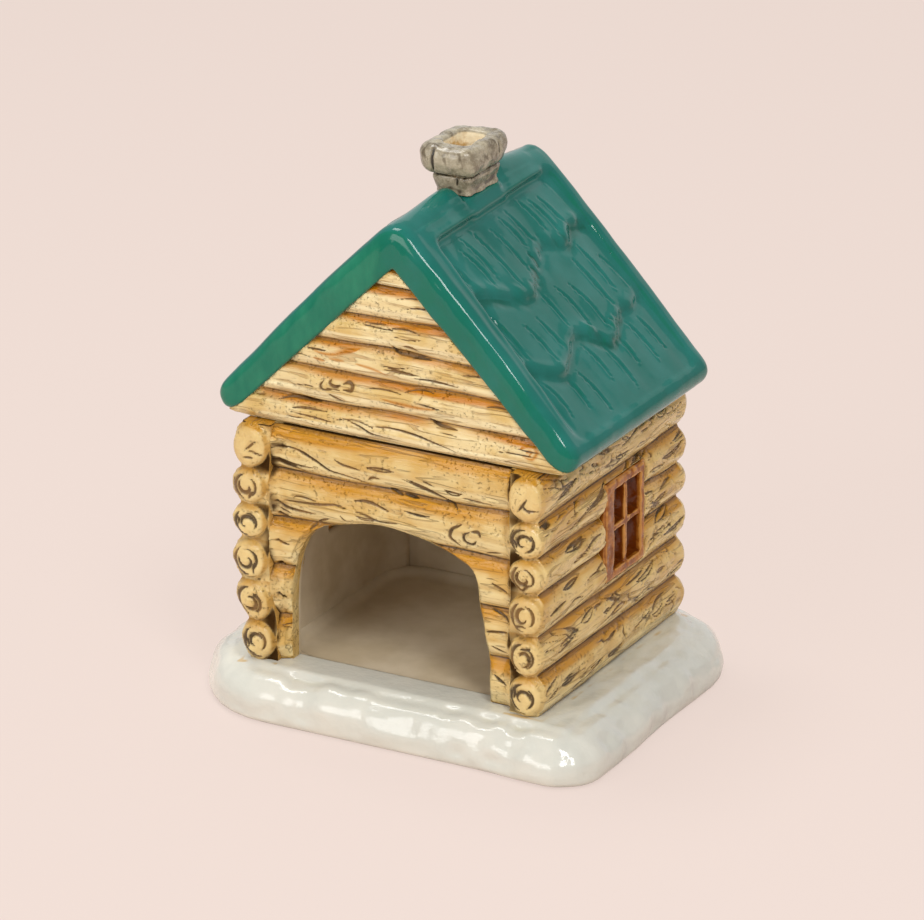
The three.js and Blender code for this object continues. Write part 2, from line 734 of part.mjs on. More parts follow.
// Rim under the lid that drops inside the walls and keeps the lid from sliding
function locatingRim() {
  const ring = (inset) => {
    const gap = rimClearance + inset;
    return roundedRect(chamberX - gap, chamberY - gap, chamberCornerRadius - gap, 5);
  };
  const bottom = seamZ - rimDrop;
  const top = seamZ + rimRise;
  const inside = solid(prism(ring(rimThickness), 'z', bottom - overcut, top + overcut));
  return piece('locating_rim', solid(prism(ring(0), 'z', bottom, top)).subtract(inside), bareClay);
}

function chimneyStack() {
  const foot = seamZ + stackFoot;
  const top = foot + stackHeight;
  const ring = (inset, z) => atHeight(
    roundedRect(stackLength / 2 - inset, stackDepth / 2 - inset, stackRound, 3, chimneyY), z);
  const rings = [ring(0, foot), ring(stackTaper, foot + stackTaperRise), ring(stackTaper, top)];
  const body = solid(loft(rings)).subtract(flueVoid(foot - overcut, top + overcut));
  return piece('chimney_stack', body, stoneGlaze);
}

// Flared collar with a rounded lip and a mouth that funnels down to the flue
function chimneyCap() {
  const bottom = seamZ + stackFoot + stackHeight;
  const flared = (side, narrow, wide) => solid(loft(side.map(([share, rise]) => {
    const [length, depth, radius] = narrow.map((value, k) => value + (wide[k] - value) * share);
    const plan = roundedRect(length / 2, depth / 2, radius, 4, chimneyY);
    return plan.map(([x, y]) => [x + capLean[0] * share, y + capLean[1] * share, bottom + capHeight * rise]);
  })));
  const waist = [stackLength - 2 * stackTaper, stackDepth - 2 * stackTaper, stackRound];
  const collar = flared(capSide, waist, [capLength, capDepth, capRound]);
  const funnel = [flueMouthLength, flueMouthDepth, flueMouthRound];
  const mouth = flared(mouthSide, [flueLength, flueDepth, flueRound], funnel);
  const flue = flueVoid(bottom - overcut, bottom + capHeight / 2);
  return piece('chimney_cap', collar.subtract(mouth).subtract(flue), stoneGlaze);
}

const cabin = new THREE.Group();
cabin.add(
  snowBase(),
  endWall('front_wall', -1, archMouth()),
  endWall('back_wall', 1, null),
  sideWall('left_wall', -1),
  sideWall('right_wall', 1),
  windowFrame('left_window_frame', -1),
  windowFrame('right_window_frame', 1),
  dishLedge('left_dish_ledge', -1),
  dishLedge('right_dish_ledge', 1),
);

const dish = new THREE.Group();
dish.add(waxDish());

const lid = new THREE.Group();
lid.add(
  roofShell(),
  gable('front_gable', -1),
  gable('back_gable', 1),
  locatingRim(),
  chimneyStack(),
  chimneyCap(),
);

const burner = new THREE.Group();
burner.name = 'wax_melt_burner';
burner.add(cabin, dish, lid);

export default burner;
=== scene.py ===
import math

import bpy
import numpy as np
from mathutils import Matrix, Vector


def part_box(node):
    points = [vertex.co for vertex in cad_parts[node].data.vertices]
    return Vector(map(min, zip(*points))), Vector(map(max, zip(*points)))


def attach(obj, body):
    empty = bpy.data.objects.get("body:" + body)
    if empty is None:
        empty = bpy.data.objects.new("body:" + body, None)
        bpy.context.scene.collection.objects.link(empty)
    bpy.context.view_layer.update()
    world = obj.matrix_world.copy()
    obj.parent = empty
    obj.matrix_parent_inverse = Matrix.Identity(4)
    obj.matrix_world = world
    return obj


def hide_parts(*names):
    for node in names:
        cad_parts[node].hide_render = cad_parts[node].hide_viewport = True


# Looks of the log cabin wax melt burner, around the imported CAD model.
# Shapes are worked in millimetres in the CAD frame and stored in metres.
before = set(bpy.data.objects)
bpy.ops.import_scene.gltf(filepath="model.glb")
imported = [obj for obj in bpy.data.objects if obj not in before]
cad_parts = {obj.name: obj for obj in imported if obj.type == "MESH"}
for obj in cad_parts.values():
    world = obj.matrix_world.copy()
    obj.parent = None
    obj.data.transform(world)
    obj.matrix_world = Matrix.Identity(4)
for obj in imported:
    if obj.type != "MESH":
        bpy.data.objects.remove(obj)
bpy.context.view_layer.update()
MM = 0.001

# Places read from the CAD
WALL_LOW, WALL_HIGH = (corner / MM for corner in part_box("right_wall"))
SNOW_TOP = WALL_LOW.z
SEAM = WALL_HIGH.z
OUTER_X = WALL_HIGH.x
FRAME_LOW, FRAME_HIGH = (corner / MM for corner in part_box("right_window_frame"))
CHAMBER_X = FRAME_LOW.x
_, GABLE_HIGH = (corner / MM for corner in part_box("front_gable"))
CAP_LOW, CAP_HIGH = (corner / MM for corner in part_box("chimney_cap"))
STACK_LOW, STACK_HIGH = (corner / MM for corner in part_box("chimney_stack"))

# Columns of log ends, outer faces of the front, back and gables, and the candle chamber
BLOCK_WIDTH = 9.6
BLOCK_INNER = OUTER_X - BLOCK_WIDTH
BLOCK_Y = 36
LOG_END_PROUD = 1.5
FACE_Y = (32.6, 33.4)
CHAMBER_Y = 30
CHAMBER_CORNER = 10

# Roof: places on a slope are given along the ridge and down from the ridge line
ROOF_PITCH = math.radians(46.55)
SLOPE_X, SLOPE_Z = math.sin(ROOF_PITCH), math.cos(ROOF_PITCH)
RIDGE_LINE = SEAM + 56.8
PANEL_TOP = 8.8
PANEL_END = 67.5
PANEL_FRONT_TOP = -26.8
PANEL_FRONT_FOOT = -29.9
PANEL_BACK = 30.6
PANEL_MIDDLE = 0.55
PANEL_REACH = 31.45
PANEL_SINK = 1.7
THATCH_RISE = 0.0555
# Lower edges of the upper courses of thatch, as shares of half the panel's length and of its height
THATCH_EDGES = (
    ((-1, 0.27), (-0.73, 0.31), (-0.49, 0.375), (-0.3, 0.41), (-0.1, 0.37), (0.1, 0.3), (0.31, 0.26),
     (0.52, 0.305), (0.73, 0.25), (1, 0.28)),
    ((-1, 0.58), (-0.83, 0.665), (-0.59, 0.735), (-0.4, 0.7), (-0.18, 0.635), (0.03, 0.665), (0.21, 0.75),
     (0.38, 0.7), (0.55, 0.655), (0.76, 0.655), (1, 0.595)),
)

# Half the size of the chimney's mouth, and of its flue, across and along the ridge
MOUTH = (3.9, 5.6)
FLUE = (2.8, 4.9)

# How far modelling and tools move the clay
CLOSE_GAP = 0.5
GROOVE_WAVE = 0.7
CUT_DEPTH = 0.45
RING_DEPTH = 0.62
END_BULGE = 0.9
CORNER_LEAN = 2.1

# Camera and light
PHOTO_WIDTH = 924
CAMERA_AZIMUTH = math.radians(28.43)
CAMERA_ELEVATION = math.radians(21.4)
CAMERA_DISTANCE = 1503.47
CAMERA_AIM = (-0.66, 41.77)
FOCAL_PIXELS = 6241
SENSOR_WIDTH = 36
CAMERA_CLIP = 10
BACKGROUND = [0.855, 0.716, 0.651, 1]
WORLD_LIGHT = [0.95, 0.96, 1.0, 1]
WORLD_STRENGTH = 0.42
FLOOR_GLOW = 0.8
FLOOR_REACH = 6
BODY_CENTRE = Vector((0, 0, 0.07))
# Lamps: name, direction from the burner, distance and size in metres, power in watts
LAMPS = (
    ("key", (0.52, -0.5, 0.79), 0.9, (0.2, 0.34), 3.4),
    ("overhead", (-0.35, 0.1, 0.93), 0.9, (0.36, 0.36), 3.2),
    ("fill", (-0.26, -0.92, 0.48), 1.1, (0.6, 0.6), 3.9),
    ("backdrop", (-0.15, 1, 0.3), 1.2, (1.6, 0.8), 1.6),
)


def new_object(name, data):
    obj = bpy.data.objects.new(name, data)
    bpy.context.scene.collection.objects.link(obj)
    return obj


def add_camera():
    """The photograph's camera, fitted to the edges of the walls, roof and base."""
    a, e = CAMERA_AZIMUTH, CAMERA_ELEVATION
    back = Vector((math.sin(a) * math.cos(e), -math.cos(a) * math.cos(e), math.sin(e)))
    right = Vector((math.cos(a), math.sin(a), 0))
    up = back.cross(right)
    place = Vector((0, 0, SNOW_TOP)) + back * CAMERA_DISTANCE
    place += right * CAMERA_AIM[0] + up * CAMERA_AIM[1]
    data = bpy.data.cameras.new("camera")
    data.sensor_fit = "HORIZONTAL"
    data.sensor_width = SENSOR_WIDTH
    data.lens = FOCAL_PIXELS / PHOTO_WIDTH * SENSOR_WIDTH
    data.clip_end = CAMERA_CLIP
    camera = new_object("camera", data)
    turn = Matrix((right, up, back)).transposed().to_4x4()
    camera.matrix_world = Matrix.Translation(place * MM) @ turn
    bpy.context.scene.camera = camera


def add_world():
    """Even light from all round."""
    world = bpy.data.worlds.new("studio")
    bpy.context.scene.world = world
    world.use_nodes = True
    shade = world.node_tree.nodes["Background"]
    shade.inputs["Color"].default_value = WORLD_LIGHT
    shade.inputs["Strength"].default_value = WORLD_STRENGTH


def add_softbox(name, direction, distance, size, power):
    """A rectangular lamp that faces the burner."""
    data = bpy.data.lights.new(name, "AREA")
    data.shape = "RECTANGLE"
    data.size, data.size_y = size
    data.energy = power
    lamp = new_object(name, data)
    toward = Vector(direction).normalized()
    lamp.location = BODY_CENTRE + toward * distance
    lamp.rotation_euler = toward.to_track_quat("Z", "Y").to_euler()


def add_floor():
    """A plain floor in the photograph's pale pink, which keeps a faint shadow."""
    far = FLOOR_REACH
    mesh = bpy.data.meshes.new("floor")
    mesh.from_pydata([(-far, -far, 0), (far, -far, 0), (far, far, 0), (-far, far, 0)], [], [(0, 1, 2, 3)])
    floor = new_object("floor", mesh)
    p = Painter("floor_paper", specular=0)
    p.shade({"Base Color": BACKGROUND, "Roughness": 1})
    glow = p.add("Emission", {"Color": BACKGROUND})
    share = p.times(p.add("LightPath").outputs["Is Camera Ray"], FLOOR_GLOW)
    mix = p.add("MixShader", {0: share, 1: p.shader.outputs[0], 2: glow.outputs[0]})
    p.feed(p.tree.nodes["Material Output"].inputs["Surface"], mix.outputs[0])
    mesh.materials.append(p.material)


# Noise, the same on every run
def lattice(cell, seed):
    """A steady number from -1 to 1 for each whole-numbered cell."""
    mixed = cell[:, 0] * 374761393 + cell[:, 1] * 668265263 + cell[:, 2] * 362437 + seed * 974711
    mixed &= 0xFFFFFFFF
    mixed = ((mixed ^ (mixed >> 13)) * 1274126177) & 0xFFFFFFFF
    return (mixed ^ (mixed >> 16)) / 0x7FFFFFFF - 1


def noise(points, seed=0):
    """Smooth noise from -1 to 1 at points given in cells."""
    cell = np.floor(points).astype(np.int64)
    t = points - cell
    t = t * t * t * (t * (t * 6 - 15) + 10)
    result = np.zeros(len(points))
    for corner in np.ndindex(2, 2, 2):
        weight = np.prod(np.where(corner, t, 1 - t), axis=1)
        result += weight * lattice(cell + corner, seed)
    return result


def layered(points, cell, seed, layers=2):
    """Noise in several sizes; cell is the largest one's size, or its sizes along the axes, in millimetres."""
    cells = points / np.array(cell)
    return sum(noise(cells * 2 ** layer, seed + layer) / 2 ** layer for layer in range(layers))


def flat_noise(a, b, cell, seed, layers=2):
    """Layered noise over a face."""
    points = np.stack([a, b, np.full(len(a), 0.5)], 1)
    return layered(points, (*cell, 1), seed, layers)


def unit(value):
    return np.clip(value, 0, 1)


def rise(low, high, value):
    """0 below low, 1 above high and smooth between."""
    t = unit((value - low) / (high - low))
    return t * t * (3 - 2 * t)


def fall(low, high, value):
    return 1 - rise(low, high, value)


def bell(value, width):
    """A bell-shaped rise to 1 where value is 0."""
    return np.exp(-(value / width) ** 2)


class Clay:
    """A fine, even copy of a CAD node in millimetres, to be softened, carved and painted point by point."""

    def __init__(self, node, voxel, soften, seed=0):
        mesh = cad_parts[node].data.copy()
        mesh.transform(Matrix.Scale(1 / MM, 4))
        blank = new_object(node + "_blank", mesh)
        even = blank.modifiers.new("even", "REMESH")
        even.mode = "VOXEL"
        even.voxel_size = voxel * FINE
        graph = bpy.context.evaluated_depsgraph_get()
        self.mesh = bpy.data.meshes.new_from_object(blank.evaluated_get(graph))
        bpy.data.objects.remove(blank)
        self.node = node
        self.voxel = voxel * FINE
        self.co = self.read(self.mesh.vertices, "co", 3)
        self.edges = self.read(self.mesh.edges, "vertices", 2, np.int32)
        self.paints = {}
        self.seed, self.rng = seed, np.random.default_rng(seed)
        self.soften(soften)

    def read(self, items, field, width, kind=np.float64):
        values = np.empty(len(items) * width, kind)
        items.foreach_get(field, values)
        return values.reshape(-1, width)

    def spread(self, values, rounds):
        """Each point takes the mean of its neighbours' values, a number of times."""
        values = values.reshape(len(self.co), -1)
        a, b = self.edges.T
        count = len(values)
        degree = np.maximum(np.bincount(a, minlength=count) + np.bincount(b, minlength=count), 1)
        for _ in range(rounds):
            near = [
                np.bincount(a, values[b, k], count) + np.bincount(b, values[a, k], count)
                for k in range(values.shape[1])
            ]
            values = 0.5 * values + 0.5 * np.stack(near, 1) / degree[:, None]
        return values

    def blurred(self, values, reach):
        """Values blurred over about reach millimetres."""
        return self.spread(values, max(2, round((reach / self.voxel) ** 2)))

    def soften(self, rounds, where=1.0):
        """Rounds the surface off, fully where `where` is 1."""
        share = np.broadcast_to(where, len(self.co))[:, None]
        self.move((self.spread(self.co, rounds) - self.co) * share)

    def move(self, by):
        self.co = self.co + by
        self.mesh.vertices.foreach_set("co", self.co.astype(np.float32).ravel())
        self.mesh.update()
        self.normal = self.read(self.mesh.vertex_normals, "vector", 3)

    def push(self, amount):
        """Moves each point out along its own normal."""
        self.move(self.normal * amount[:, None])

    def shift(self, direction, amount):
        self.move(np.array(direction) * amount[:, None])

    def facing(self, axis, side, low, high):
        """1 where the surface faces along an axis, to the side given by 1 or -1."""
        return rise(low, high, self.normal[:, axis] * side)

    def relief(self, reach):
        """How far each point stands over its surroundings within about reach millimetres."""
        return ((self.co - self.blurred(self.co, reach)) * self.normal).sum(1)

    def hollow(self, reach, depth):
        """1 where the surface lies depth or more under its surroundings."""
        return unit(-self.relief(reach) / depth)

    def paint(self, name, values):
        self.paints[name] = unit(values)

    def deepen(self, name, values):
        """Raises a paint wherever values are higher."""
        self.paint(name, np.maximum(self.paints[name], values))

    def fire(self, body, material):
        """Turns the clay into the finished piece, on its body and in place of its node."""
        name = self.node + "_glazed"
        for paint, values in self.paints.items():
            layer = self.mesh.attributes.new(paint, "FLOAT", "POINT")
            layer.data.foreach_set("value", values.astype(np.float32))
        self.mesh.transform(Matrix.Scale(MM, 4))
        self.mesh.shade_smooth()
        self.mesh.name = name
        self.mesh.materials.clear()
        self.mesh.materials.append(material)
        obj = new_object(name, self.mesh)
        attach(obj, body)
        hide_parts(self.node)


# Drawn lines: points on a face, and half the line's width at its middle
def line_field(a, b, lines):
    """Closeness to drawn lines: 1 on a line's middle, 0.5 at its edge, 0 at twice its half width."""
    field = np.zeros(len(a))
    for points, half in lines:
        points = np.array(points, float)
        low, high = points.min(0) - 2 * half, points.max(0) + 2 * half
        near = np.nonzero((a > low[0]) & (a < high[0]) & (b > low[1]) & (b < high[1]))[0]
        if not len(near):
            continue
        place = np.stack([a[near], b[near]], 1)
        steps = np.linalg.norm(np.diff(points, axis=0), axis=1)
        run = np.concatenate([[0], np.cumsum(steps)]) / steps.sum()
        best = np.zeros(len(near))
        for k in range(len(steps)):
            way = points[k + 1] - points[k]
            t = unit((place - points[k]) @ way / max(way @ way, 1e-9))
            gap = np.linalg.norm(place - points[k] - t[:, None] * way, axis=1)
            along = run[k] + t * (run[k + 1] - run[k])
            width = half * np.maximum(np.sin(np.pi * np.clip(along, 0.02, 0.98)), 0.05) ** 0.6
            best = np.maximum(best, 1 - gap / (2 * width))
        field[near] = np.maximum(field[near], best)
    return field


def flowing(points, count=5):
    """A smooth line through the points."""
    points = np.array(points, float)
    ends = np.concatenate([[2 * points[0] - points[1]], points, [2 * points[-1] - points[-2]]])
    line = []
    for p0, p1, p2, p3 in zip(ends, ends[1:], ends[2:], ends[3:]):
        for t in np.arange(count) / count:
            bend = 2 * p0 - 5 * p1 + 4 * p2 - p3 + t * (3 * (p1 - p2) + p3 - p0)
            line.append(p1 + 0.5 * t * (p2 - p0 + t * bend))
    return [tuple(point) for point in line] + [tuple(points[-1])]


def bowed(start, end, bow, count=6):
    """A line from start to end that bows sideways by bow."""
    start, end = np.array(start, float), np.array(end, float)
    way = end - start
    side = np.array([-way[1], way[0]]) / max(np.linalg.norm(way), 1e-9)
    return [tuple(start + way * t + side * bow * 4 * t * (1 - t)) for t in np.linspace(0, 1, count)]


def grain_lines(rng, a_range, b_range, count, length, half, lean=0.08, climb=0.0, leaves=0.6):
    """Incised grain along a log: single cuts, and pairs that close like a leaf."""
    lines = []
    for _ in range(count):
        a, b = rng.uniform(*a_range), rng.uniform(*b_range)
        reach = rng.uniform(*length)
        end = (a + reach, b + reach * rng.normal(climb, lean))
        bow = rng.normal(0, 0.05) * reach
        width = rng.uniform(*half)
        lines.append((bowed((a, b), end, bow), width))
        if rng.random() < leaves:
            lines.append((bowed((a, b), end, bow - rng.uniform(0.7, 1.6)), width * 0.8))
    return lines


def creases(a, b, cell, width, seed):
    """Closeness to winding creases, which swell, taper and fork along a log like carved grain."""
    field = np.zeros(len(a))
    for layer in (0, 30):
        level = flat_noise(a, b, cell, seed + layer)
        here = rise(-0.25, 0.45, flat_noise(a, b, (cell[0], cell[1] * 2), seed + layer + 5))
        field = np.maximum(field, unit(1 - abs(level) / width) * here)
    return field


def disc_lines(rng, centre, half_width, half_height):
    """Growth rings cut into a log end: crescents, a curl and a short hook."""
    def at(radius, angle):
        across, up = half_width * radius * math.cos(angle), half_height * radius * math.sin(angle)
        return (centre[0] + across, centre[1] + up)

    def arc(radius, first, last, count=9):
        return [at(radius, turn + math.radians(angle)) for angle in np.linspace(first, last, count)]

    turn = rng.uniform(-0.4, 0.4)
    start = rng.uniform(0, 2 * math.pi)
    curl = [at(0.46 - 0.26 * t, start + t * 4.6) for t in np.linspace(0, 1, 12)]
    hook = bowed(at(0.72, start + 2.6), at(0.5, start + 3.6), 0.3)
    crescent, inner, bark = arc(0.7, 105, 260), arc(0.56, -60, 70, 8), arc(0.9, 150, 285)
    return [(crescent, 0.58), (curl, 0.46), (hook, 0.34), (inner, 0.34), (bark, 0.4)]


# Logs
def boundaries(courses, low, high):
    """Heights of the grooves between courses, which are stretched to fill from low to high."""
    return low + np.concatenate([[0], np.cumsum(courses)]) * (high - low) / sum(courses)


def course_depth(height, grooves, groove, power=2.0):
    """Depth below the crest at a height, for grooves whose heights are arrays or numbers."""
    depth = np.full(height.shape, float(groove))
    place = np.zeros(height.shape)
    number = np.zeros(height.shape, int)
    for k, (low, high) in enumerate(zip(grooves, grooves[1:])):
        inside = (height >= low) & (height <= high)
        t = (height - low) / np.maximum(high - low, 1e-6) * 2 - 1
        depth[inside] = groove * abs(t[inside]) ** power
        place[inside] = t[inside]
        number[inside] = k
    return depth, place, number


COAT_ROUGH = 0.04


class Painter:
    """Builds one procedural material, from sockets, numbers, colours and the names of the clay's paints."""

    def __init__(self, name, coat=0.0, specular=0.5):
        self.material = bpy.data.materials.new(name)
        self.material.use_nodes = True
        self.tree = self.material.node_tree
        self.shader = self.tree.nodes["Principled BSDF"]
        self.place = self.add("TexCoord").outputs["Object"]
        self.shade({"Specular IOR Level": specular})
        if coat:
            self.shade({"Coat Weight": coat, "Coat Roughness": COAT_ROUGH})

    def add(self, kind, inputs=None, **settings):
        node = self.tree.nodes.new("ShaderNode" + kind)
        for key, value in settings.items():
            setattr(node, key, value)
        for key, value in (inputs or {}).items():
            self.feed(node.inputs[key], value)
        return node

    def feed(self, socket, value):
        """Plugs in a socket or a paint, or sets a number, a vector (list) or an 8-bit colour (tuple)."""
        if isinstance(value, str):
            value = self.add("Attribute", attribute_name=value).outputs["Fac"]
        if isinstance(value, bpy.types.NodeSocket):
            self.tree.links.new(value, socket)
        else:
            socket.default_value = linear(value) if isinstance(value, tuple) else value

    def shade(self, inputs):
        for name, value in inputs.items():
            self.feed(self.shader.inputs[name], value)

    def noise(self, cell, detail=3.0, rough=0.55, distortion=0.0):
        """Noise whose cells measure cell millimetres along X, Y and Z."""
        scale = [1 / (size * MM) for size in np.broadcast_to(cell, 3)]
        place = self.add("Mapping", {"Vector": self.place, "Scale": scale})
        inputs = {"Scale": 1, "Detail": detail, "Roughness": rough, "Distortion": distortion}
        return self.add("TexNoise", {"Vector": place.outputs[0], **inputs}).outputs["Fac"]

    def math(self, operation, a, b):
        return self.add("Math", {0: a, 1: b}, operation=operation).outputs[0]

    def times(self, a, b):
        return self.math("MULTIPLY", a, b)

    def plus(self, a, b):
        return self.math("ADD", a, b)

    def minus(self, a, b):
        return self.math("SUBTRACT", a, b)

    def stir(self, value, noise, reach):
        """A value with noise added, up to about half of reach either way."""
        return self.plus(value, self.times(self.minus(noise, 0.5), reach))

    def ramp(self, value, low, high, to_low=0.0, to_high=1.0):
        """Smooth step of a value from low to high."""
        inputs = {"Value": value, "From Min": low, "From Max": high, "To Min": to_low, "To Max": to_high}
        return self.add("MapRange", inputs, interpolation_type="SMOOTHSTEP").outputs["Result"]

    def mix(self, share, a, b):
        return self.add("Mix", {"Factor": share, "A": a, "B": b}, data_type="RGBA").outputs["Result"]

    def blend(self, a, b, value, low, high, most=1):
        """Colour a, which goes to b by up to most as value goes from low to high."""
        return self.mix(self.ramp(value, low, high, 0, most), a, b)

    def lay(self, tint, *how):
        """Blends a tint over the colour so far."""
        self.color = self.blend(self.color, tint, *how)

    def finish(self, roughness, height, depth):
        """Ends the material, with its height as a bump depth millimetres high."""
        bump = self.add("Bump", {"Distance": depth * MM, "Height": height})
        self.shade({"Base Color": self.color, "Roughness": roughness, "Normal": bump.outputs[0]})
        return self.material


def linear(color):
    """Linear colour, with an alpha of 1, of an 8-bit display colour."""
    shares = [v / 255 for v in color]
    return [v / 12.92 if v <= 0.04045 else ((v + 0.055) / 1.055) ** 2.4 for v in shares] + [1]


# 8-bit display colours
CLAY_LIGHT = (222, 206, 178)
CLAY_DARK = (202, 184, 152)
RUST = (156, 100, 30)
# Painted shade: brown along the grooves between logs
SHADE_OAK = (150, 105, 36)
WASH = (146, 116, 66)
UMBER = (72, 53, 26)
BISTRE = (120, 86, 40)
# Painted shade in crevices
CREVICE_SHADE = (62, 40, 14)

# Pale, cream, honey and amber of each kind of log; the amber lies under the grooves as pooled glaze and
# painted shade
FRONT_TINTS = ((235, 215, 158), (224, 197, 134), (212, 173, 98), (202, 142, 34))
SIDE_TINTS = ((236, 212, 150), (226, 194, 126), (208, 168, 96), (196, 140, 42))
GABLE_TINTS = ((245, 230, 182), (233, 210, 154), (218, 184, 112), (192, 120, 4))


def log_glaze(name, along, tints, thread_tint):
    """Honey glaze over carved logs: amber under the grooves as pooled glaze and painted shade, brown painted
    shade along the grooves, painted shade in crevices, dry fibres and dark brown cuts.
    """
    p = Painter(name)
    pale, cream, honey, amber = tints

    def cell(long, short):
        return (long, short, short) if along == "x" else (short, long, short)

    clouds = p.noise(10, 3)
    speckle = p.noise(0.8, 4, 0.7)
    fibre = p.noise(cell(16, 1.1), 4, 0.6, 0.5)
    grain = p.noise(cell(24, 2.0), 2, 0.45, 0.3)
    patches = p.noise(cell(14, 6), 2)
    p.color = cream
    p.lay(honey, clouds, 0.4, 0.64)
    p.lay(honey, fibre, 0.5, 0.8, 0.3)
    p.lay(pale, p.stir("low", fibre, 0.5), 0.1, 0.8, 0.7)
    # Amber where glaze pools, which also carries painted shade under the grooves and round the log ends
    pooled_and_shaded = p.stir("pool_and_shade", fibre, 0.35)
    p.lay(amber, pooled_and_shaded, 0.1, 0.95)
    # Painted shade: brown bands along the grooves
    brown_shading = p.stir(p.times("brown_shade", 0.8), patches, 1.2)
    p.lay(SHADE_OAK, brown_shading, 0.3, 0.8, 0.85)
    p.lay(RUST, pooled_and_shaded, 0.95, 1.3, 0.6)
    p.lay(WASH, p.stir("wash", speckle, 0.5), 0.2, 0.9, 0.7)
    pits = p.times(p.ramp(speckle, 0.57, 0.68), p.ramp(patches, 0.45, 0.6))
    p.color = p.mix(p.times(pits, 0.07), p.color, BISTRE)
    wave = p.math("PINGPONG", p.times(grain, 3.6), 0.5)
    threads = p.times(p.ramp(wave, 0.06, 0.12, 1, 0), p.ramp(patches, 0.58, 0.44))
    threads = p.times(threads, p.minus(1, "ends"))
    p.color = p.mix(p.times(threads, 0.4), p.color, thread_tint)
    inks = p.blend(UMBER, BISTRE, clouds, 0.4, 0.6)
    p.lay(inks, p.stir("ink", speckle, 0.3), 0.2, 0.7, 0.94)
    # Painted shade in crevices, along the lid's seam and round the log ends
    dark = p.ramp(p.stir("dark", clouds, 0.5), 0.25, 0.95)
    p.color = p.mix(dark, p.color, CREVICE_SHADE)
    p.lay(p.blend(CLAY_LIGHT, CLAY_DARK, clouds, 0.3, 0.7), "inside", 0.4, 0.6)
    rough = p.plus(p.ramp(speckle, 0.3, 0.7, 0.12, 0.25), p.times("inside", 0.3))
    rough = p.plus(rough, p.times(dark, 0.3))
    p.shade({"Specular IOR Level": p.minus(0.33, p.times(dark, 0.3))})
    p.shade({"Coat Weight": p.minus(0.1, p.times(dark, 0.1))})
    height = p.minus(p.minus(p.plus(fibre, p.times(grain, 0.6)), threads), pits)
    return p.finish(rough, p.times(height, p.ramp("inside", 0.3, 0.7, 1, 0)), 0.3)


def roof_glaze():
    """Deep teal gloss: darker where it pools and in painted shade under the thatch's edges, lighter and
    greener where it was brushed thinly, with painted highlight on raised lips.
    """
    p = Painter("roof_glaze", coat=0.1, specular=0.3)
    clouds = p.noise(14, 3)
    fine = p.noise(2.2, 3)
    brushed = p.noise((5, 12, 12), 3)
    p.color = (20, 103, 91)
    p.lay((34, 113, 103), clouds, 0.35, 0.68)
    greener = p.stir("thin_and_highlight", brushed, 0.7)
    p.lay((4, 106, 80), greener, 0.2, 0.9, 0.9)
    p.lay((44, 134, 100), greener, 0.8, 1.2, 0.7)
    p.lay((6, 84, 66), p.stir("pool_and_shade", fine, 0.5), 0.3, 0.95, 0.85)
    p.lay((14, 70, 60), "ink", 0.3, 0.9, 0.55)
    rough = p.ramp(fine, 0.3, 0.7, 0.06, 0.13)
    return p.finish(rough, p.plus(clouds, p.times(fine, 0.03)), 0.15)


def snow_glaze():
    """Clear gloss over off-white, greener where it is thick."""
    p = Painter("snow_glaze", coat=0.4)
    clouds = p.noise(16, 4)
    fine = p.noise(2.4, 3)
    p.color = (221, 218, 204)
    p.lay((212, 211, 198), clouds, 0.35, 0.65)
    p.lay((206, 202, 180), "pool_and_shade", 0.2, 0.9, 0.6)
    p.lay((204, 168, 104), p.stir("wash", fine, 0.4), 0.2, 0.9, 0.8)
    p.lay(p.blend(CLAY_LIGHT, CLAY_DARK, clouds, 0.3, 0.7), "inside", 0.4, 0.6)
    rough = p.plus(p.ramp(fine, 0.35, 0.7, 0.12, 0.24), p.times("inside", 0.3))
    height = p.plus(clouds, p.times(fine, 0.3))
    return p.finish(rough, p.times(height, p.ramp("inside", 0.3, 0.7, 1, 0)), 0.5)


def stone_glaze():
    """Mottled grey-brown with dark crevices, partly pooled glaze and partly painted shade, and a paler mouth.
    """
    p = Painter("stone_glaze", coat=0.25)
    clouds = p.noise(4.5, 4)
    speckle = p.noise(0.9, 4, 0.7)
    veins = p.noise((2.2, 2.4, 3.4), 3, 0.6, 0.8)
    p.color = (176, 164, 138)
    p.lay((132, 120, 98), clouds, 0.38, 0.62)
    p.lay((214, 202, 174), speckle, 0.5, 0.68, 0.45)
    p.lay((84, 70, 46), veins, 0.5, 0.68, 0.75)
    p.lay((56, 47, 34), p.stir("pool_and_shade", speckle, 0.5), 0.3, 0.9, 0.9)
    p.lay((46, 38, 26), "ink", 0.2, 0.8, 0.9)
    mouth = p.blend((244, 228, 192), (196, 156, 92), clouds, 0.4, 0.6)
    p.lay(mouth, "inside", 0.2, 0.8)
    rough = p.ramp(speckle, 0.3, 0.7, 0.16, 0.4)
    return p.finish(rough, p.plus(veins, p.times(speckle, 0.3)), 0.2)


def frame_glaze():
    """Glossy rust brown, with painted shade in the panes' sides and a painted highlight on the edges."""
    p = Painter("frame_glaze", specular=0.3)
    clouds = p.noise(3.2, 3)
    speckle = p.noise(0.9, 3, 0.7)
    p.color = (132, 70, 16)
    p.lay((170, 104, 36), clouds, 0.38, 0.62)
    p.lay((192, 128, 52), speckle, 0.55, 0.68, 0.5)
    p.lay((204, 142, 66), p.stir("thin_and_highlight", clouds, 0.6), 0.3, 0.9, 0.85)
    p.lay((104, 44, 8), "pool_and_shade", 0.2, 0.9, 0.95)
    return p.finish(p.ramp(clouds, 0.3, 0.7, 0.1, 0.2), clouds, 0.3)


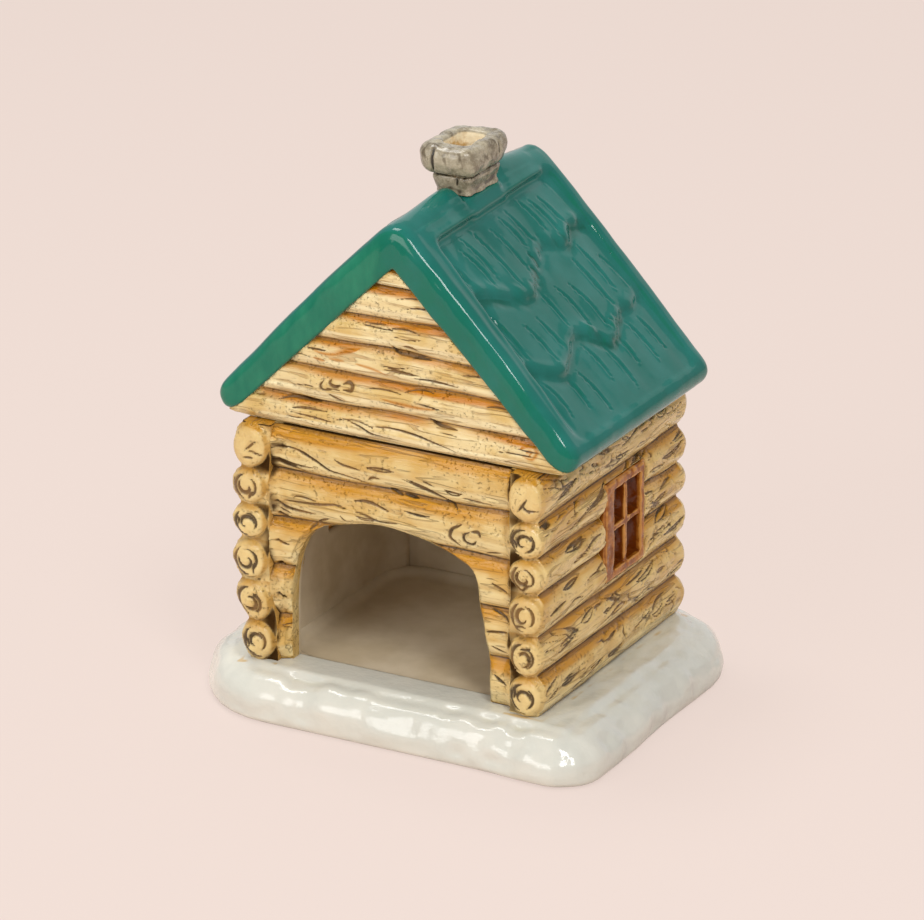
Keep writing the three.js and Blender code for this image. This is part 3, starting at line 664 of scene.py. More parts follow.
def plain_clay(name, light, dark, roughness):
    """Unpainted clay with a few darker specks."""
    p = Painter(name)
    clouds = p.noise(9, 4)
    speckle = p.noise(0.7, 3, 0.7)
    p.color = light
    p.lay(dark, clouds, 0.35, 0.65)
    p.lay([v * 0.6 for v in linear(dark)[:3]] + [1], speckle, 0.62, 0.7, 0.35)
    rough = p.ramp(clouds, 0.3, 0.7, roughness - 0.06, roughness + 0.08)
    return p.finish(rough, p.plus(clouds, p.times(speckle, 0.3)), 0.2)


# Cuts seen on the front: half a cut's width, then places across the front and up from the snow
FRONT_CUTS = [
    (0.3, -33.5, 54, -29, 55, -25, 54.5, -21.5, 53, -19, 51.5, -17, 50.5, -13.5, 50, -7.5, 49),
    (0.34, -33, 52, -29, 51, -25, 50.5, -21.5, 50.5), (0.34, -33, 51.5, -28.5, 50, -24, 49),
    (0.34, -16, 54, -13.5, 53, -9, 52.5), (0.3, -7.5, 50, -6, 51, -4, 51), (0.3, -1.5, 49, 2, 48),
    (0.42, -32, 41.5, -29, 39.5, -26, 39, -21, 39), (0.36, -33, 40, -31.5, 37.5, -29, 36.5),
    (0.24, -31, 39, -28, 37.5), (0.3, -30.5, 41.5, -27, 41.5, -20, 42, -16, 42.5, -12.5, 42),
    (0.22, -27, 42, -26, 43, -23, 43, -20, 42.5), (0.36, -11, 44.5, -7.5, 45, -4.5, 44.5, -1.5, 43.5),
    (0.28, -10.5, 42, -7.5, 41.5, -3.5, 40.5, 1.5, 41), (0.4, -23, 34.5, -21.5, 36.5),
    (0.26, -21, 37, -17.5, 38.5), (0.26, -14.5, 40, -13, 38.5, -11.5, 39),
    (0.42, 18, 44, 15.4, 42.4, 14.8, 40, 17, 38),
    (0.36, 20.2, 42.6, 18.5, 41.4, 18.6, 39.6, 20.6, 39.2, 21.8, 40.6),
    (0.42, 20.5, 42.8, 22.5, 43, 23, 41.6), (0.26, 2, 52.5, 6.5, 51, 15, 48.5, 17, 46.5),
    (0.42, 3.5, 52.5, 8, 51, 14, 49), (0.34, 2, 48.5, 6, 48), (0.26, 7.5, 53, 10.5, 52),
    (0.24, 17.5, 50.5, 23, 50, 26.5, 50), (0.24, 23.5, 37.5, 28.5, 38.5),
    (0.3, -32.5, 32, -30.5, 30.5, -28, 30), (0.3, -32.5, 25.5, -30.5, 24), (0.28, -31.5, 18, -29.5, 16),
    (0.3, 26, 31, 30, 29), (0.3, 25.5, 24, 29, 23, 30.5, 21.5), (0.3, 26, 15, 30, 13.5),
    (0.3, 26.5, 8, 30.5, 6),
]
GABLE_CUTS = [
    (0.42, -16.5, 74.2, -16.9, 73, -15.5, 72.3, -14, 73),
    (0.42, -13.4, 73.3, -12, 74.1, -10.9, 73.3, -11.5, 71.9, -13.3, 71.9),
    (0.3, -18.5, 73.5, -19.5, 72, -18.5, 71, -16.5, 71.4), (0.26, -17.5, 70, -15, 69, -13, 68.5),
    (0.36, -1.5, 85, 0.5, 83.5, 3.5, 83.3, 9.5, 83), (0.4, 2, 85, 4, 85, 6, 84.5),
    (0.36, -1.5, 79.5, 1.5, 79, 6, 78.8), (0.3, 5.5, 78, 10, 78, 16.5, 77.5),
    (0.28, -27.5, 65, -24, 65.5, -19.5, 65.5), (0.26, -27.5, 64, -22.5, 63.5, -16, 63),
    (0.26, -13, 64.5, -9, 63.5, -5.5, 62, 1, 61.5),
    (0.24, -6.5, 64, -1, 64.5, 6, 64, 12.5, 62.5, 17.5, 61), (0.34, 8.5, 68.5, 11.5, 67.5, 16.5, 67),
    (0.3, -31, 66.5, -27.5, 67.5, -22.5, 67.5, -19.5, 67.5),
]
GABLE_STAINS = [
    (0.6, -3.5, 71.5, 1, 71, 6, 71, 11.5, 71.5), (0.5, -21.5, 78.5, -18.5, 78),
    (0.45, -17.5, 79, -13, 79), (0.6, -21.5, 80.5, -17.5, 80, -13.5, 81, -9.5, 82.5),
    (0.4, -10.5, 79, -5.5, 78.5, -1.5, 77.5), (0.5, 33, 65.5, 35.5, 67, 37.5, 65.8, 36.5, 63.8, 34, 64),
    (0.4, 34.6, 65, 36, 65.4, 35.6, 64.4),
]
# Painted shade in blots beside the corner columns, given like the cuts
FRONT_SHADE_BLOTS = [
    (1.0, -32.4, 55.4, -30.5, 55.2, -28.5, 54.8), (1.2, -32.6, 52.5, -32.2, 50, -32.8, 46.5),
    (0.8, -32, 51.6, -29, 50.6, -26, 50.2), (1.3, -32.4, 43, -32, 40.5, -32.4, 37.5),
    (0.7, 31.6, 51, 31.8, 45), (1.0, 31.6, 38, 31.4, 31), (0.9, 31.6, 26.5, 31.5, 21),
]
# Cuts on the chimney, as places in the CAD frame and half their width
CHIMNEY_FRONT_CUTS = [
    ([(-3.2, 138), (-3.6, 135), (-3.4, 131.5)], 0.4),
    ([(1.2, 131.5), (1.8, 129.5), (1.6, 128)], 0.3),
    ([(-6, 131.2), (0, 130.6), (5.5, 131)], 0.5),
]
CHIMNEY_RIGHT_CUTS = [
    ([(-6, 131), (0, 130.4), (8, 131)], 0.5),
    ([(4.5, 137), (4, 133)], 0.3),
]
# Each wall's logs: courses from the bottom up, depth of the CAD's and the carved grooves, creases, loose cuts
FRONT_LOGS = {
    "grooves": boundaries((11.8, 12.4, 12.6, 11.8, 11.4), SNOW_TOP, SEAM),
    "groove": 1.5, "deeper": 2.1, "cell": (17, 2.6), "width": 0.07, "lean": 0.06, "ink": 0.4,
    "cuts": {"a_range": (-31, 25), "length": (3, 8), "half": (0.18, 0.28)},
}
GABLE_LOGS = {
    "grooves": boundaries((8.2, 7.8, 7.5, 7.7, 7.8, 5), SEAM, GABLE_HIGH.z),
    "groove": 1.2, "deeper": 1.7, "cell": (34, 1.9), "width": 0.06, "lean": 0.03, "ink": 0.4,
    "cuts": {"a_range": (-42, 34), "length": (3, 11), "half": (0.11, 0.2), "lean": 0.06, "leaves": 0.15},
}
SIDE_LOGS = {
    "grooves": boundaries((10, 10.2, 10.4, 8.9, 9.2, 11.3), SNOW_TOP, SEAM),
    "groove": 1.9, "deeper": 2.5, "cell": (11, 2.6), "width": 0.12, "lean": 0.24, "ink": 0.75,
    "cuts": {"a_range": (-36, 30), "length": (3, 13), "half": (0.16, 0.34), "lean": 0.1, "climb": 0.14,
             "leaves": 0.45},
}


def placed(cuts, end):
    """The front's cuts as flowing lines in the CAD frame; the back has none."""
    if end > 0:
        return []
    return [(flowing([(a, up + SNOW_TOP) for a, up in zip(cut[1::2], cut[2::2])]), cut[0]) for cut in cuts]


# Walls
def carve_face(clay, face, a, height, out, logs, count, drawn=()):
    """Carves a face of logs, from the CAD's even courses to wavy and fluted ones, with drawn and loose cuts.

    Returns how fully each point is cut, and its height on its log from -1 to 1."""
    seed, grooves, lines = clay.seed, logs["grooves"], list(drawn)
    for low, high in zip(grooves, grooves[1:]):
        edge = (high - low) * 0.16
        lines += grain_lines(clay.rng, b_range=(low + edge, high - edge), count=count, **logs["cuts"])
    on = np.nonzero(face > 0)[0]
    a_on, h_on = a[on], height[on]
    old, _, _ = course_depth(h_on, grooves, logs["groove"])
    wavy = [groove + 0 * a_on for groove in grooves]
    for k in range(1, len(grooves) - 1):
        wavy[k] += GROOVE_WAVE * flat_noise(a_on, 0 * a_on + k * 7.3, (16, 1), seed + k, 1)
    new, place, number = course_depth(h_on, wavy, logs["deeper"], 2.4)
    lumps = 0.35 * flat_noise(a_on, h_on + number * 31.0, (15, 7), seed + 40)
    flutes = 0.34 * flat_noise(a_on, h_on + number * 17.0, (13, 2.2), seed + 60)
    lean = logs["lean"] * np.where(number % 2, 1, -0.6) * a_on
    wound = creases(a_on, h_on + number * 23.0 + lean, logs["cell"], logs["width"], seed + 80)
    wound *= fall(0.8, 0.98, abs(place))
    calm = 1 - abs(place) ** 6
    moved, cut, above = np.zeros((3, len(a)))
    moved[on] = (old - new + (lumps + flutes) * calm) * face[on]
    cut[on] = np.maximum(line_field(a_on, h_on, lines), logs["ink"] * wound) * face[on]
    above[on] = place * face[on]
    clay.shift(out, moved)
    clay.push(-CUT_DEPTH * rise(0.05, 0.8, cut))
    return cut, above


def glaze_logs(clay, ink, above, inside, dark, amber_from):
    """Paints what the log glaze needs: amber under each groove as pooled glaze and painted shade, brown
    painted shade along the grooves, wash round the cuts, painted shade in dark crevices.
    """
    along = clay.co[:, 0] + clay.co[:, 1]
    patches = 0.8 + 0.5 * flat_noise(along, clay.co[:, 2], (20, 8), seed=77)
    # Amber ledge under each groove: pooled glaze and painted shade from the log above
    ledge = rise(amber_from, 0.85, above) * patches
    clay.paint("low", rise(0.15, 0.5, -above) * fall(0.75, 0.95, -above))
    # Painted shade: brown at the top and at the foot of each log, by the grooves
    clay.paint("brown_shade", rise(0.72, 0.92, above) + 0.7 * rise(0.8, 0.98, -above))
    clay.paint("ink", np.maximum(ink, 0.85 * rise(0.93, 1, abs(above))))
    clay.paint("pool_and_shade", np.maximum(0.6 * clay.hollow(2.2, 0.3), 1.1 * ledge))
    clay.paint("wash", 0.95 * clay.blurred(ink, 1.3)[:, 0])
    # Painted shade where the surface lies deep under its surroundings
    clay.paint("dark", np.maximum(dark, rise(0.9, 1.35, -clay.relief(2.6) / 0.55)))
    clay.paint("inside", inside)


def flare(co):
    """The left front corner leans out, most at two thirds of its height."""
    x, y, z = co.T
    lean = CORNER_LEAN * rise(SNOW_TOP + 6, SNOW_TOP + 22, z) * (1 - 0.35 * rise(SEAM - 16, SEAM - 3, z))
    return lean * (rise(BLOCK_INNER - 2.6, BLOCK_INNER + 0.4, -x) * rise(-10, -26, y))


def seam_shade(clay, reach):
    """Dark line where the lid sits on the walls, seen from outside only."""
    x, y, z = clay.co.T
    outer = np.maximum(abs(y) - CHAMBER_Y - 2.4, abs(x) - OUTER_X + 3)
    upright = 1 - clay.facing(2, 1, 0.6, 0.9) * (abs(x) > BLOCK_INNER - 0.5)
    return fall(0.4 * reach, reach, abs(z - SEAM)) * rise(0, 0.5, outer) * upright


def chamber_mask(co):
    """1 on surfaces that line the candle chamber."""
    return ((abs(co[:, 0]) < CHAMBER_X + 0.3) & (abs(co[:, 1]) < CHAMBER_Y + 0.3)).astype(float)


def close_gaps(clay):
    """Lets a wall run a little way into the snow under it."""
    clay.shift((0, 0, -1), CLOSE_GAP * (clay.co[:, 2] < SNOW_TOP + 1.2))


def log_ends(clay, side):
    """Rounds the log ends of a side's columns and cuts their rings.

    Returns the cuts, the painted shade round the rims, the painted shade on the ends' tops, and a mask of the
    ends."""
    x, y, z = clay.co.T
    centre_x = side * (OUTER_X - BLOCK_WIDTH / 2)
    lean = flare(clay.co) if side < 0 else 0 * x
    across = (x + lean - centre_x) / (BLOCK_WIDTH / 2)
    inner = 0.45 + 0.55 * rise(0.2, -0.7, across * side)
    cuts, rim_shade, crown_shade = np.zeros((3, len(x)))
    grooves = SIDE_LOGS["grooves"]
    for end in (-1, 1):
        disc = clay.facing(1, end, 0.3, 0.7) * rise(BLOCK_Y - 1.5, BLOCK_Y - 0.5, y * end)
        rings = []
        for low, high in zip(grooves, grooves[1:]):
            middle, half = (low + high) / 2, (high - low) / 2
            up = (z - middle) / half
            out = across ** 2 + up ** 2
            clay.shift((0, end, 0), END_BULGE * unit(1 - out ** 3) * disc)
            log = disc * (abs(up) < 1)
            # Painted shade on the top of each log end, and round its rim, most on the side towards the wall
            crown_shade = np.maximum(crown_shade, log * rise(0.3, 0.95, up))
            rim_shade = np.maximum(rim_shade, log * rise(0.74, 1.02, out) * inner)
            if high < grooves[-1]:
                rings += disc_lines(clay.rng, (centre_x, middle), BLOCK_WIDTH / 2, half)
            else:
                spot = (centre_x - 3, centre_x + 2), (low + 2, high - 5)
                rings += grain_lines(clay.rng, *spot, 3, length=(2, 4), half=(0.2, 0.3), lean=0.8, leaves=0)
        cut = line_field(x + lean, z, rings) * disc
        clay.push(-RING_DEPTH * rise(0.05, 0.75, cut))
        cuts = np.maximum(cuts, cut)
    ends = rise(0.2, 0.6, abs(clay.normal[:, 1])) * (abs(y) > BLOCK_Y - 1)
    clay.push(0.22 * layered(clay.co, 3.5, clay.seed + 9) * ends)
    return cuts, rim_shade, crown_shade, ends


def side_wall(node, side, seed, voxel):
    clay = Clay(node, voxel, 2, seed)
    close_gaps(clay)
    if side < 0:
        clay.shift((-1, 0, 0), flare(clay.co))
    x, y, z = clay.co.T
    face = clay.facing(0, side, 0.15, 0.5) * rise(OUTER_X - 3.2, OUTER_X - 2.4, x * side)
    face *= fall(BLOCK_Y - 0.6, BLOCK_Y + 0.5, abs(y))
    ink, above = carve_face(clay, face, y, z, (side, 0, 0), SIDE_LOGS, 15)
    _, y, z = clay.co.T
    cuts, rim_shade, crown_shade, ends = log_ends(clay, side)
    # Painted shade on the columns' sides that face the wall, in the crevice beside the logs
    shaded_cheek = clay.facing(0, -side, 0.5, 0.9) * (abs(y) > CHAMBER_Y + 2)
    patchy = np.clip(0.7 + 0.9 * layered(clay.co, 7, seed + 33), 0.35, 1)
    # Painted shade: the columns' sides, the rims of the log ends and the lid's seam
    dark = np.maximum(np.maximum(0.4 * shaded_cheek, 0.9 * rim_shade) * patchy, seam_shade(clay, 0.6))
    glaze_logs(clay, np.maximum(ink, cuts), above, chamber_mask(clay.co), dark, 0.3)
    lid_side = clay.facing(2, 1, 0.5, 0.8) * (z > SEAM - 3)
    worn = rise(-0.6, 1, layered(clay.co, 7, seed + 21)) * ends
    clay.paint("ends", ends)
    clay.deepen("low", 0.5 * ends)
    clay.paint("pool_and_shade", clay.paints["pool_and_shade"] * (1 - 0.7 * ends))
    # Amber pools, and painted shade on the columns' sides and on the log ends' tops
    for pooled_and_shaded in (0.9 * lid_side, 0.4 * worn, 0.55 * shaded_cheek, crown_shade * (0.4 + 0.3 * patchy)):
        clay.deepen("pool_and_shade", pooled_and_shaded)
    clay.deepen("brown_shade", np.maximum(0.4 * shaded_cheek, 0.5 * crown_shade))
    clay.fire("cabin", LOGS_SIDE)


def outer_face(clay, end):
    """1 on the outer face of a front, a back or a gable."""
    return clay.facing(1, end, 0.15, 0.5) * rise(*FACE_Y, clay.co[:, 1] * end)


def end_wall(node, end, seed, voxel):
    clay = Clay(node, voxel, 2, seed)
    close_gaps(clay)
    x = clay.co[:, 0]
    clay.shift((1, 0, 0), 0.45 * np.sign(x) * (abs(x) > BLOCK_INNER - 1))
    clay.shift((-1, 0, 0), flare(clay.co))
    x, _, z = clay.co.T
    face, count, drawn = outer_face(clay, end), 2 if end < 0 else 7, placed(FRONT_CUTS, end)
    ink, above = carve_face(clay, face, x, z, (0, end, 0), FRONT_LOGS, count, drawn)
    x, _, z = clay.co.T
    gap = BLOCK_INNER - abs(x + flare(clay.co))
    crease = fall(0.2, 1.6 + 0.8 * flat_noise(x, z, (3, 5), seed=8), gap) * face
    clay.shift((0, end, 0), 0.8 * crease)
    # How dark the painted shade in the crease beside each column is, in patches
    depth = 0.25 + 0.6 * rise(-0.3, 0.4, flat_noise(x, z, (40, 6), seed=18))
    shade_blots = line_field(x, z, placed(FRONT_SHADE_BLOTS, end)) * face
    # Painted shade: the crease, the lid's seam and the blots
    dark = np.maximum(np.maximum(crease * depth, seam_shade(clay, 0.5)), 0.9 * shade_blots)
    glaze_logs(clay, ink, above, chamber_mask(clay.co), dark, 0)
    # Painted shade in amber and brown at the logs' ends by the columns
    near = fall(0.8, 4, gap + 1.2 * flat_noise(x, z, (4, 4), seed=28)) * face
    clay.deepen("pool_and_shade", 0.3 * near)
    clay.deepen("brown_shade", 0.5 * near)
    clay.fire("cabin", LOGS_FRONT)


def gable(node, end, seed, voxel):
    clay = Clay(node, voxel, 2, seed)
    slopes = abs(clay.normal[:, 0]) * SLOPE_X + clay.normal[:, 2] * SLOPE_Z
    clay.push(0.4 * rise(0.7, 0.95, slopes))
    x, y, z = clay.co.T
    face = outer_face(clay, end)
    clay.shift((0, 0, 1), 0.3 * fall(SEAM, SEAM + 2.5, z) * (abs(y) > CHAMBER_Y + 1))
    ink, above = carve_face(clay, face, x, z, (0, end, 0), GABLE_LOGS, 8, placed(GABLE_CUTS, end))
    x, _, z = clay.co.T
    toe = rise(OUTER_X - 6, OUTER_X - 1, abs(x))
    glaze_logs(clay, ink * (1 - 0.8 * toe), above * (1 - toe), 0 * x, seam_shade(clay, 0.4), 0.25)
    stain = line_field(x, z, placed(GABLE_STAINS, end)) * face
    clay.paint("pool_and_shade", clay.paints["pool_and_shade"] + 0.8 * stain)
    clay.fire("lid", LOGS_GABLE)


# Roof
def slope_places(co, side):
    """Distance along the ridge, and down the slope from it."""
    x, y, z = co.T
    return y, side * x * SLOPE_Z + (RIDGE_LINE - z) * SLOPE_X


def over_slope(co, side):
    """Height over the plane of a slope's border."""
    return side * co[:, 0] * SLOPE_X + (co[:, 2] - RIDGE_LINE) * SLOPE_Z


def panel_depth(along, down):
    """Distance in from the panel's front, back and top edges."""
    share = (down - PANEL_TOP) / (PANEL_END - PANEL_TOP)
    front = PANEL_FRONT_TOP + (PANEL_FRONT_FOOT - PANEL_FRONT_TOP) * share
    top = np.interp(along, (PANEL_FRONT_TOP, PANEL_BACK), (PANEL_TOP + 1.1, PANEL_TOP))
    return np.minimum(np.minimum(along - front, PANEL_BACK - along), down - top)


def thatch_edge(shares):
    """A course's lower edge, as places along the ridge and distances down the slope."""
    along, down = np.array(flowing(shares)).T
    return PANEL_MIDDLE + PANEL_REACH * along, PANEL_TOP + (PANEL_END - PANEL_TOP) * down


FRINGES = [thatch_edge(edge) for edge in THATCH_EDGES]


def edge_gap(along, down):
    """Distance up or down the slope to the nearest lower edge of a course."""
    return np.minimum.reduce([abs(down - np.interp(along, *edge)) for edge in FRINGES])


def thatch_strokes(rng):
    """Long bowed strokes down each course, thinning out towards its top."""
    tops = (PANEL_TOP + 4, PANEL_TOP + 20, PANEL_TOP + 40)
    strokes = []
    for top, foot, pitch in zip(tops, FRINGES + [None], (5.2, 6.6, 7)):
        for place in np.arange(PANEL_FRONT_TOP + 2, PANEL_BACK - 1, pitch):
            at = place + rng.uniform(-1.8, 1.8)
            end = np.interp(at, *foot) - rng.uniform(0.5, 5) if foot else PANEL_END - rng.uniform(1, 9)
            start = max(end - rng.uniform(8, 20), top + rng.uniform(-3, 2))
            line = bowed((at - 0.6, start), (at + 0.8, end), rng.uniform(-1.3, -0.3), 9)
            strokes.append((line, rng.uniform(0.4, 0.62)))
    return strokes


def thatch_notches(rng):
    """Slanted nicks between the ragged tips along the courses' lower edges."""
    notches = []
    for edge in FRINGES:
        for place in np.arange(PANEL_FRONT_TOP + 2, PANEL_BACK - 1, 3):
            at = place + rng.uniform(-1.4, 1.4)
            foot = np.interp(at, *edge)
            start = (at - 0.7, foot - rng.uniform(1.2, 3.6))
            line = bowed(start, (at + 0.4, foot + 1), rng.uniform(-0.4, 0))
            notches.append((line, rng.uniform(0.5, 0.85)))
    return notches


def fringe(along, below, seed):
    """Height of the swollen lower edge of a course, the hollow under it, and how strong both are."""
    tips = flat_noise(along, 0.25 * below, (2.4, 4), seed, 1)
    strength = np.clip(0.7 + 0.8 * flat_noise(along, 0 * along, (11, 1), seed + 2, 1), 0.1, 1)
    lobes = bell(below + 1.6, 1.8) * (0.6 + 0.7 * tips)
    hollow = bell(below - 1.1 - 1.0 * tips, 1.5)
    return (1.05 * lobes - 0.45 * hollow) * strength, hollow, strength


def blend_stack(clay):
    """Swells the ridge round the chimney's foot, as poured clay does."""
    x, y, _ = clay.co.T
    middle = (STACK_LOW + STACK_HIGH) / 2
    reach = abs(y - middle.y) - (STACK_HIGH.y - middle.y)
    gap = np.maximum(abs(x) - STACK_HIGH.x, reach)
    _, down = slope_places(clay.co, np.sign(x))
    ridge = fall(PANEL_TOP - 4, PANEL_TOP - 1, down) * (clay.normal[:, 2] > 0.1)
    clay.soften(30, ridge * rise(0.2, 1.5, gap) * fall(4, 7, gap))
    clear = np.clip(reach, 0, None)
    swell = np.where(y > middle.y, 3, 1.9) * bell(clear, 13.5)
    swell = np.minimum(swell, 1 + 0.45 * clear) * rise(0.1, 1.5, gap)
    clay.shift((0, 0, 1), swell * fall(2, PANEL_TOP - 1, down) * (clay.normal[:, 2] > 0))
    for side in (1, -1):
        along, down = slope_places(clay.co, side)
        over = over_slope(clay.co, side)
        floor = -PANEL_SINK + THATCH_RISE * (down - PANEL_TOP + 3)
        pad = rise(0, 1, panel_depth(along, down)) * (down < PANEL_TOP + 5.4)
        pad = pad * (over > -3) * (side * clay.co[:, 0] > 2) * (abs(along - middle.y) < 11)
        clay.shift((side * SLOPE_X, 0, SLOPE_Z), -np.maximum(over - floor, 0) * pad)


def thatch_slope(clay, side):
    """Swells, nicks and strokes the thatch of one slope; returns its dark lines, and its pools with painted
    shade under each course's edge.
    """
    along, down = slope_places(clay.co, side)
    way = clay.normal @ np.array([side * SLOPE_X, 0, SLOPE_Z])
    top = rise(0.5, 0.8, way) * (side * clay.co[:, 0] > 4)
    depth = panel_depth(along, down)
    panel = top * rise(0.2, 1.8, depth) * rise(0.5, 3, PANEL_END - down)
    lip = 0.35 * bell(depth + 0.7, 0.9) - 0.4 * bell(depth - 1.4, 1.0)
    height = lip * fall(PANEL_END - 9, PANEL_END - 1, down) * top
    pool_and_shade = 0 * down
    for k, edge in enumerate(FRINGES):
        below = down - np.interp(along, *edge)
        raised, under, strength = fringe(along, below, 88 + 10 * k)
        height += raised * panel
        # Painted shade in the hollow under each course's edge, and fading down the slope below it
        pool_and_shade = np.maximum(pool_and_shade, 0.75 * panel * under * strength)
        shade = np.clip(0.35 + 0.8 * flat_noise(along, 0 * down + side, (10, 1), 98 + k, 1), 0, 0.8)
        pool_and_shade = np.maximum(pool_and_shade, panel * shade * rise(0, 1, below) * fall(1.5, 6.5, below))
    uneven = unit(0.55 + flat_noise(along, 0.5 * down, (12, 12), 131, 1))
    notch = rise(0.1, 0.9, line_field(along, down, thatch_notches(clay.rng))) * panel * uneven
    cut = line_field(along, down, thatch_strokes(clay.rng)) * panel
    height -= 0.8 * notch
    height += 0.24 * np.sin(np.pi * unit(cut / 0.5)) - 0.45 * rise(0.3, 0.95, cut)
    height += 0.4 * np.sin(np.pi * unit(down / PANEL_END)) * top
    height += 0.25 * flat_noise(along, down, (9, 14), seed=93) * top
    clay.push(height)
    return 0.4 * rise(0.4, 0.9, cut), np.maximum(pool_and_shade, notch)


def soften_roof(clay):
    """Rounds the outer edges, the front of the ridge, and the edges of border and thatch."""
    x, y, _ = clay.co.T
    over = over_slope(clay.co, np.sign(x))
    edge = rise(PANEL_BACK, PANEL_BACK + 2, abs(y)) * rise(-4.5, -2.5, over)
    clay.soften(60, edge)
    clay.push(0.3 * edge)
    clay.soften(90, bell(x, 8) * rise(-29, -33, y) * (over > -4))
    for side in (1, -1):
        depth = panel_depth(*slope_places(clay.co, side))
        facing = clay.facing(0, side, 0.1, 0.4)
        clay.soften(12, fall(1, 3, abs(depth + 0.5)) * facing)
        along, down = slope_places(clay.co, side)
        clay.soften(24, fall(1.5, 4, edge_gap(along, down)) * rise(0.5, 2, depth) * facing)
        clay.soften(90, fall(2, 4.5, abs(along - PANEL_BACK)) * rise(1, 6, PANEL_END - down) * facing)
    clay.soften(1)


def roof_shell():
    clay = Clay("roof_shell", 0.4, 7, seed=71)
    blend_stack(clay)
    for side in (1, -1):
        along, down = slope_places(clay.co, side)
        near = fall(1.6, 3.6, edge_gap(along, down)) * rise(0.5, 2, panel_depth(along, down))
        clay.soften(22, near * (clay.normal[:, 0] * side > 0.3))
    ink, pool_and_shade = np.maximum(*(np.array(thatch_slope(clay, side)) for side in (1, -1)))
    barge = rise(0.4, 0.8, abs(clay.normal[:, 1]))
    clay.push(0.3 * layered(clay.co, 7, seed=61) * barge)
    soften_roof(clay)
    proud = clay.hollow(3.0, -0.5)
    clay.paint("ink", ink)
    clay.paint("pool_and_shade", np.maximum(clay.hollow(3.0, 0.35) * 0.45, pool_and_shade))
    left = rise(2, -6, clay.co[:, 0])
    # Greener, thinner glaze on the barges, most on the left, and painted highlight on raised lips
    clay.paint("thin_and_highlight", np.maximum((0.6 + 0.4 * left) * barge, 0.6 * proud))
    clay.fire("lid", ROOF)


# Base, windows, chimney and plain pieces
def chamber_depth(x, y):
    """Distance in from the chamber's rounded outline."""
    across = abs(x) - (CHAMBER_X - CHAMBER_CORNER)
    along = abs(y) - (CHAMBER_Y - CHAMBER_CORNER)
    corner = np.hypot(np.maximum(across, 0), np.maximum(along, 0))
    return CHAMBER_CORNER - corner - np.minimum(np.maximum(across, along), 0)


def snow_base():
    clay = Clay("snow_base", 0.5, 4)
    x, y, z = clay.co.T
    floor = (z > SNOW_TOP - 3) * (clay.normal[:, 2] > 0.5)
    walls = np.maximum(abs(x) - OUTER_X, abs(y) - BLOCK_Y - LOG_END_PROUD)
    depth = chamber_depth(x, y)
    within = rise(-1.2, -0.6, depth) * floor
    behind_arch = rise(-27, -23, y)
    cove = 1.6 * unit(1 - np.clip(depth, 0, None) / 3.2) ** 2
    clay.shift((0, 0, 1), (0.1 + cove) * (depth > -0.2) * behind_arch * floor)
    free = rise(0.5, 3.5, walls) * rise(1.2, 3.5, z)
    lumps = 0.5 * layered(clay.co, (11, 11, 6), 5, 1) + 0.48 * layered(clay.co, (4.6, 4.6, 3.6), 15, 1)
    clay.push((lumps - 0.1) * free)
    corner = rise(25, 40, x) * rise(5, -20, y) * fall(5, 9, z) * rise(0.1, 1.5, z)
    clay.push(0.9 * corner)
    clay.soften(1)
    clay.paint("pool_and_shade", clay.hollow(3.5, 0.4) * (z > 2))
    clay.paint("inside", within * rise(-CHAMBER_Y, -CHAMBER_Y + 0.8, y))
    columns = np.maximum(abs(abs(x) - OUTER_X + BLOCK_WIDTH / 2) - BLOCK_WIDTH / 2, 0)
    foot = fall(0.2, 1, np.maximum(abs(walls), 0.8 * columns))
    patches = 0.6 + flat_noise(x + y, x - y, (8, 8), seed=41)
    clay.paint("wash", foot * patches * (z > SNOW_TOP - 1.5) * (depth < -3))
    clay.fire("cabin", SNOW)


def window_frame(node, side):
    clay = Clay(node, 0.22, 3)
    clay.push(0.16 * layered(clay.co, 2.6, seed=30))
    x, y, z = clay.co.T
    rim = np.minimum.reduce([y - FRAME_LOW.y, FRAME_HIGH.y - y, z - FRAME_LOW.z, FRAME_HIGH.z - z])
    # Painted shade in the panes' sides
    reveal_shade = rise(0.5, 1.6, FRAME_HIGH.x - x * side) * rise(0.4, 1, rim)
    # Painted highlight on the raised edges
    clay.paint("thin_and_highlight", clay.hollow(1.0, -0.12) * (1 - reveal_shade))
    clay.paint("pool_and_shade", np.maximum(reveal_shade, clay.hollow(1.2, 0.15)))
    clay.fire("cabin", BROWN)


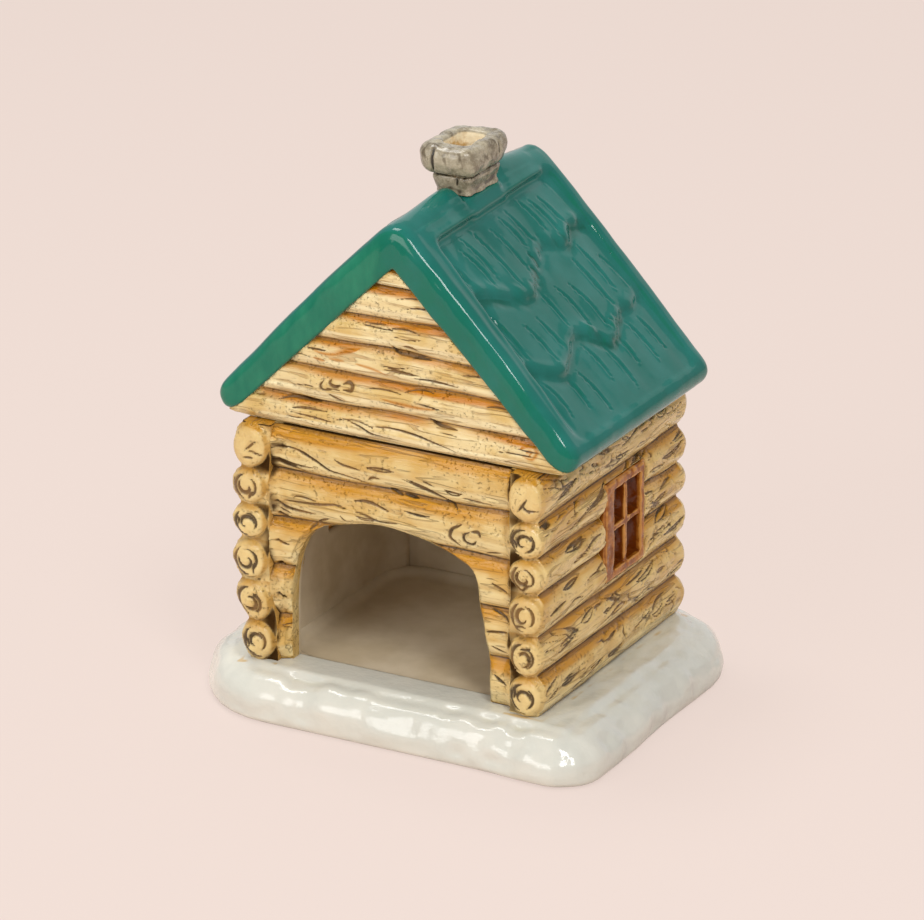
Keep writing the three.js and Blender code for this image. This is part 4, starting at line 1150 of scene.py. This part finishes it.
def chimney(node):
    clay = Clay(node, 0.28, 5)
    x, y, z = clay.co.T
    centre = (STACK_LOW + STACK_HIGH) / 2
    wide, long = MOUTH
    if node == "chimney_stack":
        wide, long = FLUE
        outer = np.maximum(abs(x) - wide, abs(y - centre.y) - long) > 0.6
        upright = abs(clay.normal[:, 2]) < 0.7
        clay.push(1.1 * rise(STACK_HIGH.z - 3.6, STACK_HIGH.z, z) * upright * outer)
    else:
        clay.soften(14, fall(CAP_LOW.z + 1.2, CAP_LOW.z + 3, z))
    clay.push(0.36 * layered(clay.co, (5, 5, 4), seed=50) + 0.12 * layered(clay.co, (2, 2, 1.6), seed=56))
    x, y, z = clay.co.T
    front = clay.facing(1, -1, 0.3, 0.7) * (y < centre.y - long - 0.6)
    right = clay.facing(0, 1, 0.3, 0.7) * (x > centre.x + wide + 0.6)
    cut = line_field(x, z, CHIMNEY_FRONT_CUTS) * front
    cut = np.maximum(cut, line_field(y, z, CHIMNEY_RIGHT_CUTS) * right)
    clay.push(-0.6 * rise(0.05, 0.9, cut))
    clay.soften(1)
    within = np.minimum(wide - abs(x - centre.x), long - abs(y - centre.y)) + 0.7
    mouth = rise(0, 0.3, within) * rise(0.2, 1.2, CAP_HIGH.z - z)
    clay.paint("ink", cut)
    # Pooled glaze and painted shade in the crevices
    clay.paint("pool_and_shade", clay.hollow(1.6, 0.2) * (1 - mouth))
    clay.paint("inside", mouth)
    clay.fire("lid", STONE)


def plain_piece(node, body, voxel, material):
    clay = Clay(node, voxel, 2)
    clay.push(0.08 * layered(clay.co, 6, seed=64))
    clay.fire(body, material)


add_camera()
bpy.context.scene.view_settings.view_transform = "Standard"
add_world()
for lamp in LAMPS:
    add_softbox(*lamp)
add_floor()

LOGS_FRONT = log_glaze("front_glaze", "x", FRONT_TINTS, BISTRE)
LOGS_SIDE = log_glaze("side_glaze", "y", SIDE_TINTS, BISTRE)
LOGS_GABLE = log_glaze("gable_glaze", "x", GABLE_TINTS, RUST)
ROOF = roof_glaze()
SNOW = snow_glaze()
STONE = stone_glaze()
BROWN = frame_glaze()
BARE = plain_clay("bare_clay", CLAY_LIGHT, CLAY_DARK, 0.5)
DISH = plain_clay("dish_glaze", (228, 220, 200), (214, 204, 182), 0.2)

FINE = 1

side_wall("right_wall", side=1, seed=11, voxel=0.34)
side_wall("left_wall", side=-1, seed=12, voxel=0.4)
end_wall("front_wall", end=-1, seed=13, voxel=0.28)
end_wall("back_wall", end=1, seed=14, voxel=0.42)
gable("front_gable", end=-1, seed=15, voxel=0.28)
gable("back_gable", end=1, seed=16, voxel=0.42)
roof_shell()
snow_base()
window_frame("right_window_frame", side=1)
window_frame("left_window_frame", side=-1)
chimney("chimney_stack")
chimney("chimney_cap")
for node, body in (("left_dish_ledge", "cabin"), ("right_dish_ledge", "cabin"), ("locating_rim", "lid")):
    plain_piece(node, body, 0.4, BARE)
plain_piece("wax_dish", "dish", 0.5, DISH)
